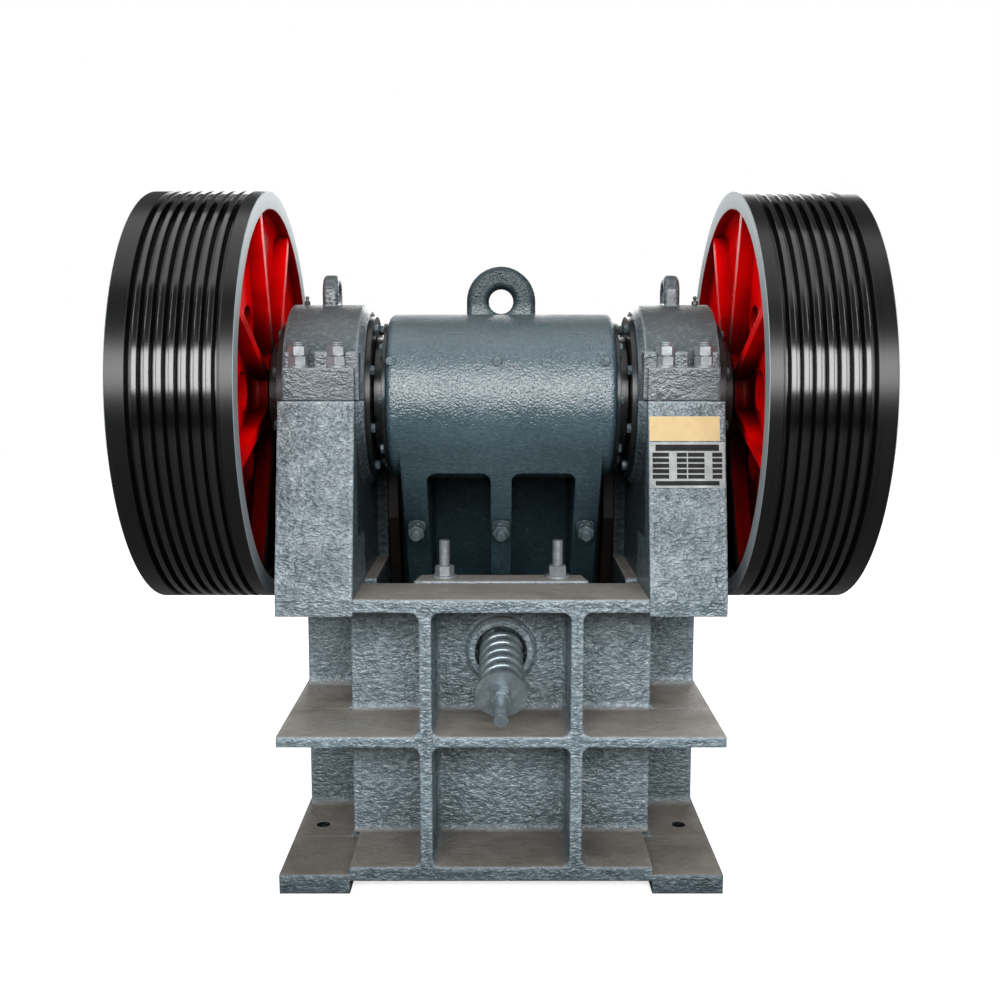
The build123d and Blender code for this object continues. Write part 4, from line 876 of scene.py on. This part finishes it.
def plateBox(x0, x1, down0, down1, thick, sink=0.0):
    # a thin sheet on the column's leaning face, its edge rounded a little
    look = plates
    slope = (1 + look["lean"] ** 2) ** 0.5
    bpy.ops.object.select_all(action="DESELECT")
    bpy.ops.mesh.primitive_cube_add(size=1, location=(0, 0, 0))
    sheet = bpy.context.object
    sheet.scale = (x1 - x0, thick, (down1 - down0) * slope)
    bpy.ops.object.transform_apply(location=False, rotation=False, scale=True)
    soft = sheet.modifiers.new("edge", "BEVEL")
    soft.width = thick * 0.3
    soft.segments = 2
    bpy.ops.object.modifier_apply(modifier="edge")
    middle = (down0 + down1) / 2
    outward = Vector((0, -1, look["lean"])).normalized()
    tilt = Matrix.Rotation(-(Vector((0, 0, 1)).angle(Vector((0, look["lean"], 1)))), 4, "X")
    spot = shaft + Vector(((x0 + x1) / 2, -look["front"] - look["lean"] * middle, -middle))
    sheet.matrix_world = Matrix.Translation(spot + outward * (thick / 2 + sink)) @ tilt
    bpy.ops.object.transform_apply(location=True, rotation=True, scale=True)
    return sheet


def oneMesh(parts):
    pickOnly(parts[0])
    for part in parts:
        part.select_set(True)
    if len(parts) > 1:
        bpy.ops.object.join()
    return bpy.context.object


def makePlates():
    look = plates
    x0, x1, down0, down1 = look["card"]
    card = plateBox(x0, x1, down0, down1, look["cardThick"])
    dress(card, "blankCard", "frame", cardPaper)

    x0, x1, down0, down1 = look["metal"]
    margin = look["margin"]
    parts = [plateBox(x0, x1, down0, down1, look["metalThick"])]
    outward = Vector((0, -1, look["lean"])).normalized()
    for x in (x0 + margin, x1 - margin):
        for down in (down0 + margin, down1 - margin):
            rivet = solidDisc(look["rivet"], look["rivetHeight"], 16)
            turnedEnds(rivet, 0.0009, 0.0005)
            spot = shaft + Vector((x, -look["front"] - look["lean"] * down, -down)) + outward * look["metalThick"]
            rivet.matrix_world = seatedAt(spot, outward)
            parts.append(rivet)
    plate = oneMesh(parts)
    bpy.ops.object.transform_apply(location=True, rotation=True, scale=True)
    dress(plate, "blankPlate", "frame", aluminiumSheet)

    # black fields without any writing, as on an unfilled plate: (left, right, top, bottom)
    barLeft, barRight = x0 + look["barInset"], x1 - look["barInset"]
    fields = [(barLeft, barRight, down0 + margin, down0 + margin + look["topBar"])]
    step = (x1 - x0 - 2 * margin) / look["columns"]
    for row in range(look["rows"]):
        top = down0 + look["rowsFrom"] + row * look["rowStep"]
        for column in range(look["columns"]):
            left = x0 + margin + column * step
            inset = look["valueInset"] if column % 2 else look["columnGap"]
            fields.append((left + inset, left + step - look["columnGap"], top, top + look["rowHeight"]))
    fields.append((barLeft, barRight, down1 - margin - look["bottomBar"], down1 - margin))
    panels = [plateBox(*field, look["inkThick"], look["metalThick"]) for field in fields]
    dress(oneMesh(panels), "plateFields", "frame", plateInk)


lockRings = {"radius": 0.0695, "bore": 0.046, "slot": 0.014, "slotDepth": 0.008, "slots": 4, "chamfer": 0.003}


def makeLockRings():
    # a turned ring with four spanner slots cut across its edge
    look = lockRings
    for side, sign in (("left", -1), ("right", 1)):
        low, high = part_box("lock_ring_" + side)
        width = high.x - low.x
        ring = solidDisc(look["radius"], width - 2 * look["chamfer"], 64)
        ring.location.z += look["chamfer"]
        turnedEnds(ring, look["chamfer"], look["chamfer"])
        cutter = solidDisc(look["bore"], width * 2, 48)
        cutter.location.z -= width / 2
        tools = [cutter]
        size = Matrix.Diagonal((look["slotDepth"] * 2, look["slot"], width * 2, 1))
        outward = Matrix.Translation((look["radius"], 0, width))
        for number in range(look["slots"]):
            bpy.ops.object.select_all(action="DESELECT")
            bpy.ops.mesh.primitive_cube_add(size=1, location=(0, 0, 0))
            slotTool = bpy.context.object
            slotTool.matrix_world = Matrix.Rotation((2 * number + 1) * pi / look["slots"], 4, "Z") @ outward @ size
            tools.append(slotTool)
        for tool in tools:
            pickOnly(ring)
            cut = ring.modifiers.new("cut", "BOOLEAN")
            cut.operation = "DIFFERENCE"
            cut.object = tool
            bpy.ops.object.modifier_apply(modifier="cut")
            bpy.data.objects.remove(tool)
        inner = low.x if sign > 0 else high.x
        place = seatedAt(Vector((inner, shaft.y, shaft.z)), (sign, 0, 0))
        piece = setOut("lockRing_" + side, ring, [place], "rotor", turnedSteel)
        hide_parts("lock_ring_" + side)


def makePieces():
    makeCapStuds()
    makeNipples()
    makeRingBolts()
    makeBarrelPlugs()
    makeJawBolts()
    makeWedgeStuds()
    print("fasteners made")
    makeSpring()
    makeRodNut()
    makePlates()
    makeLockRings()
    print("spring, plates and rings made")


makePieces()
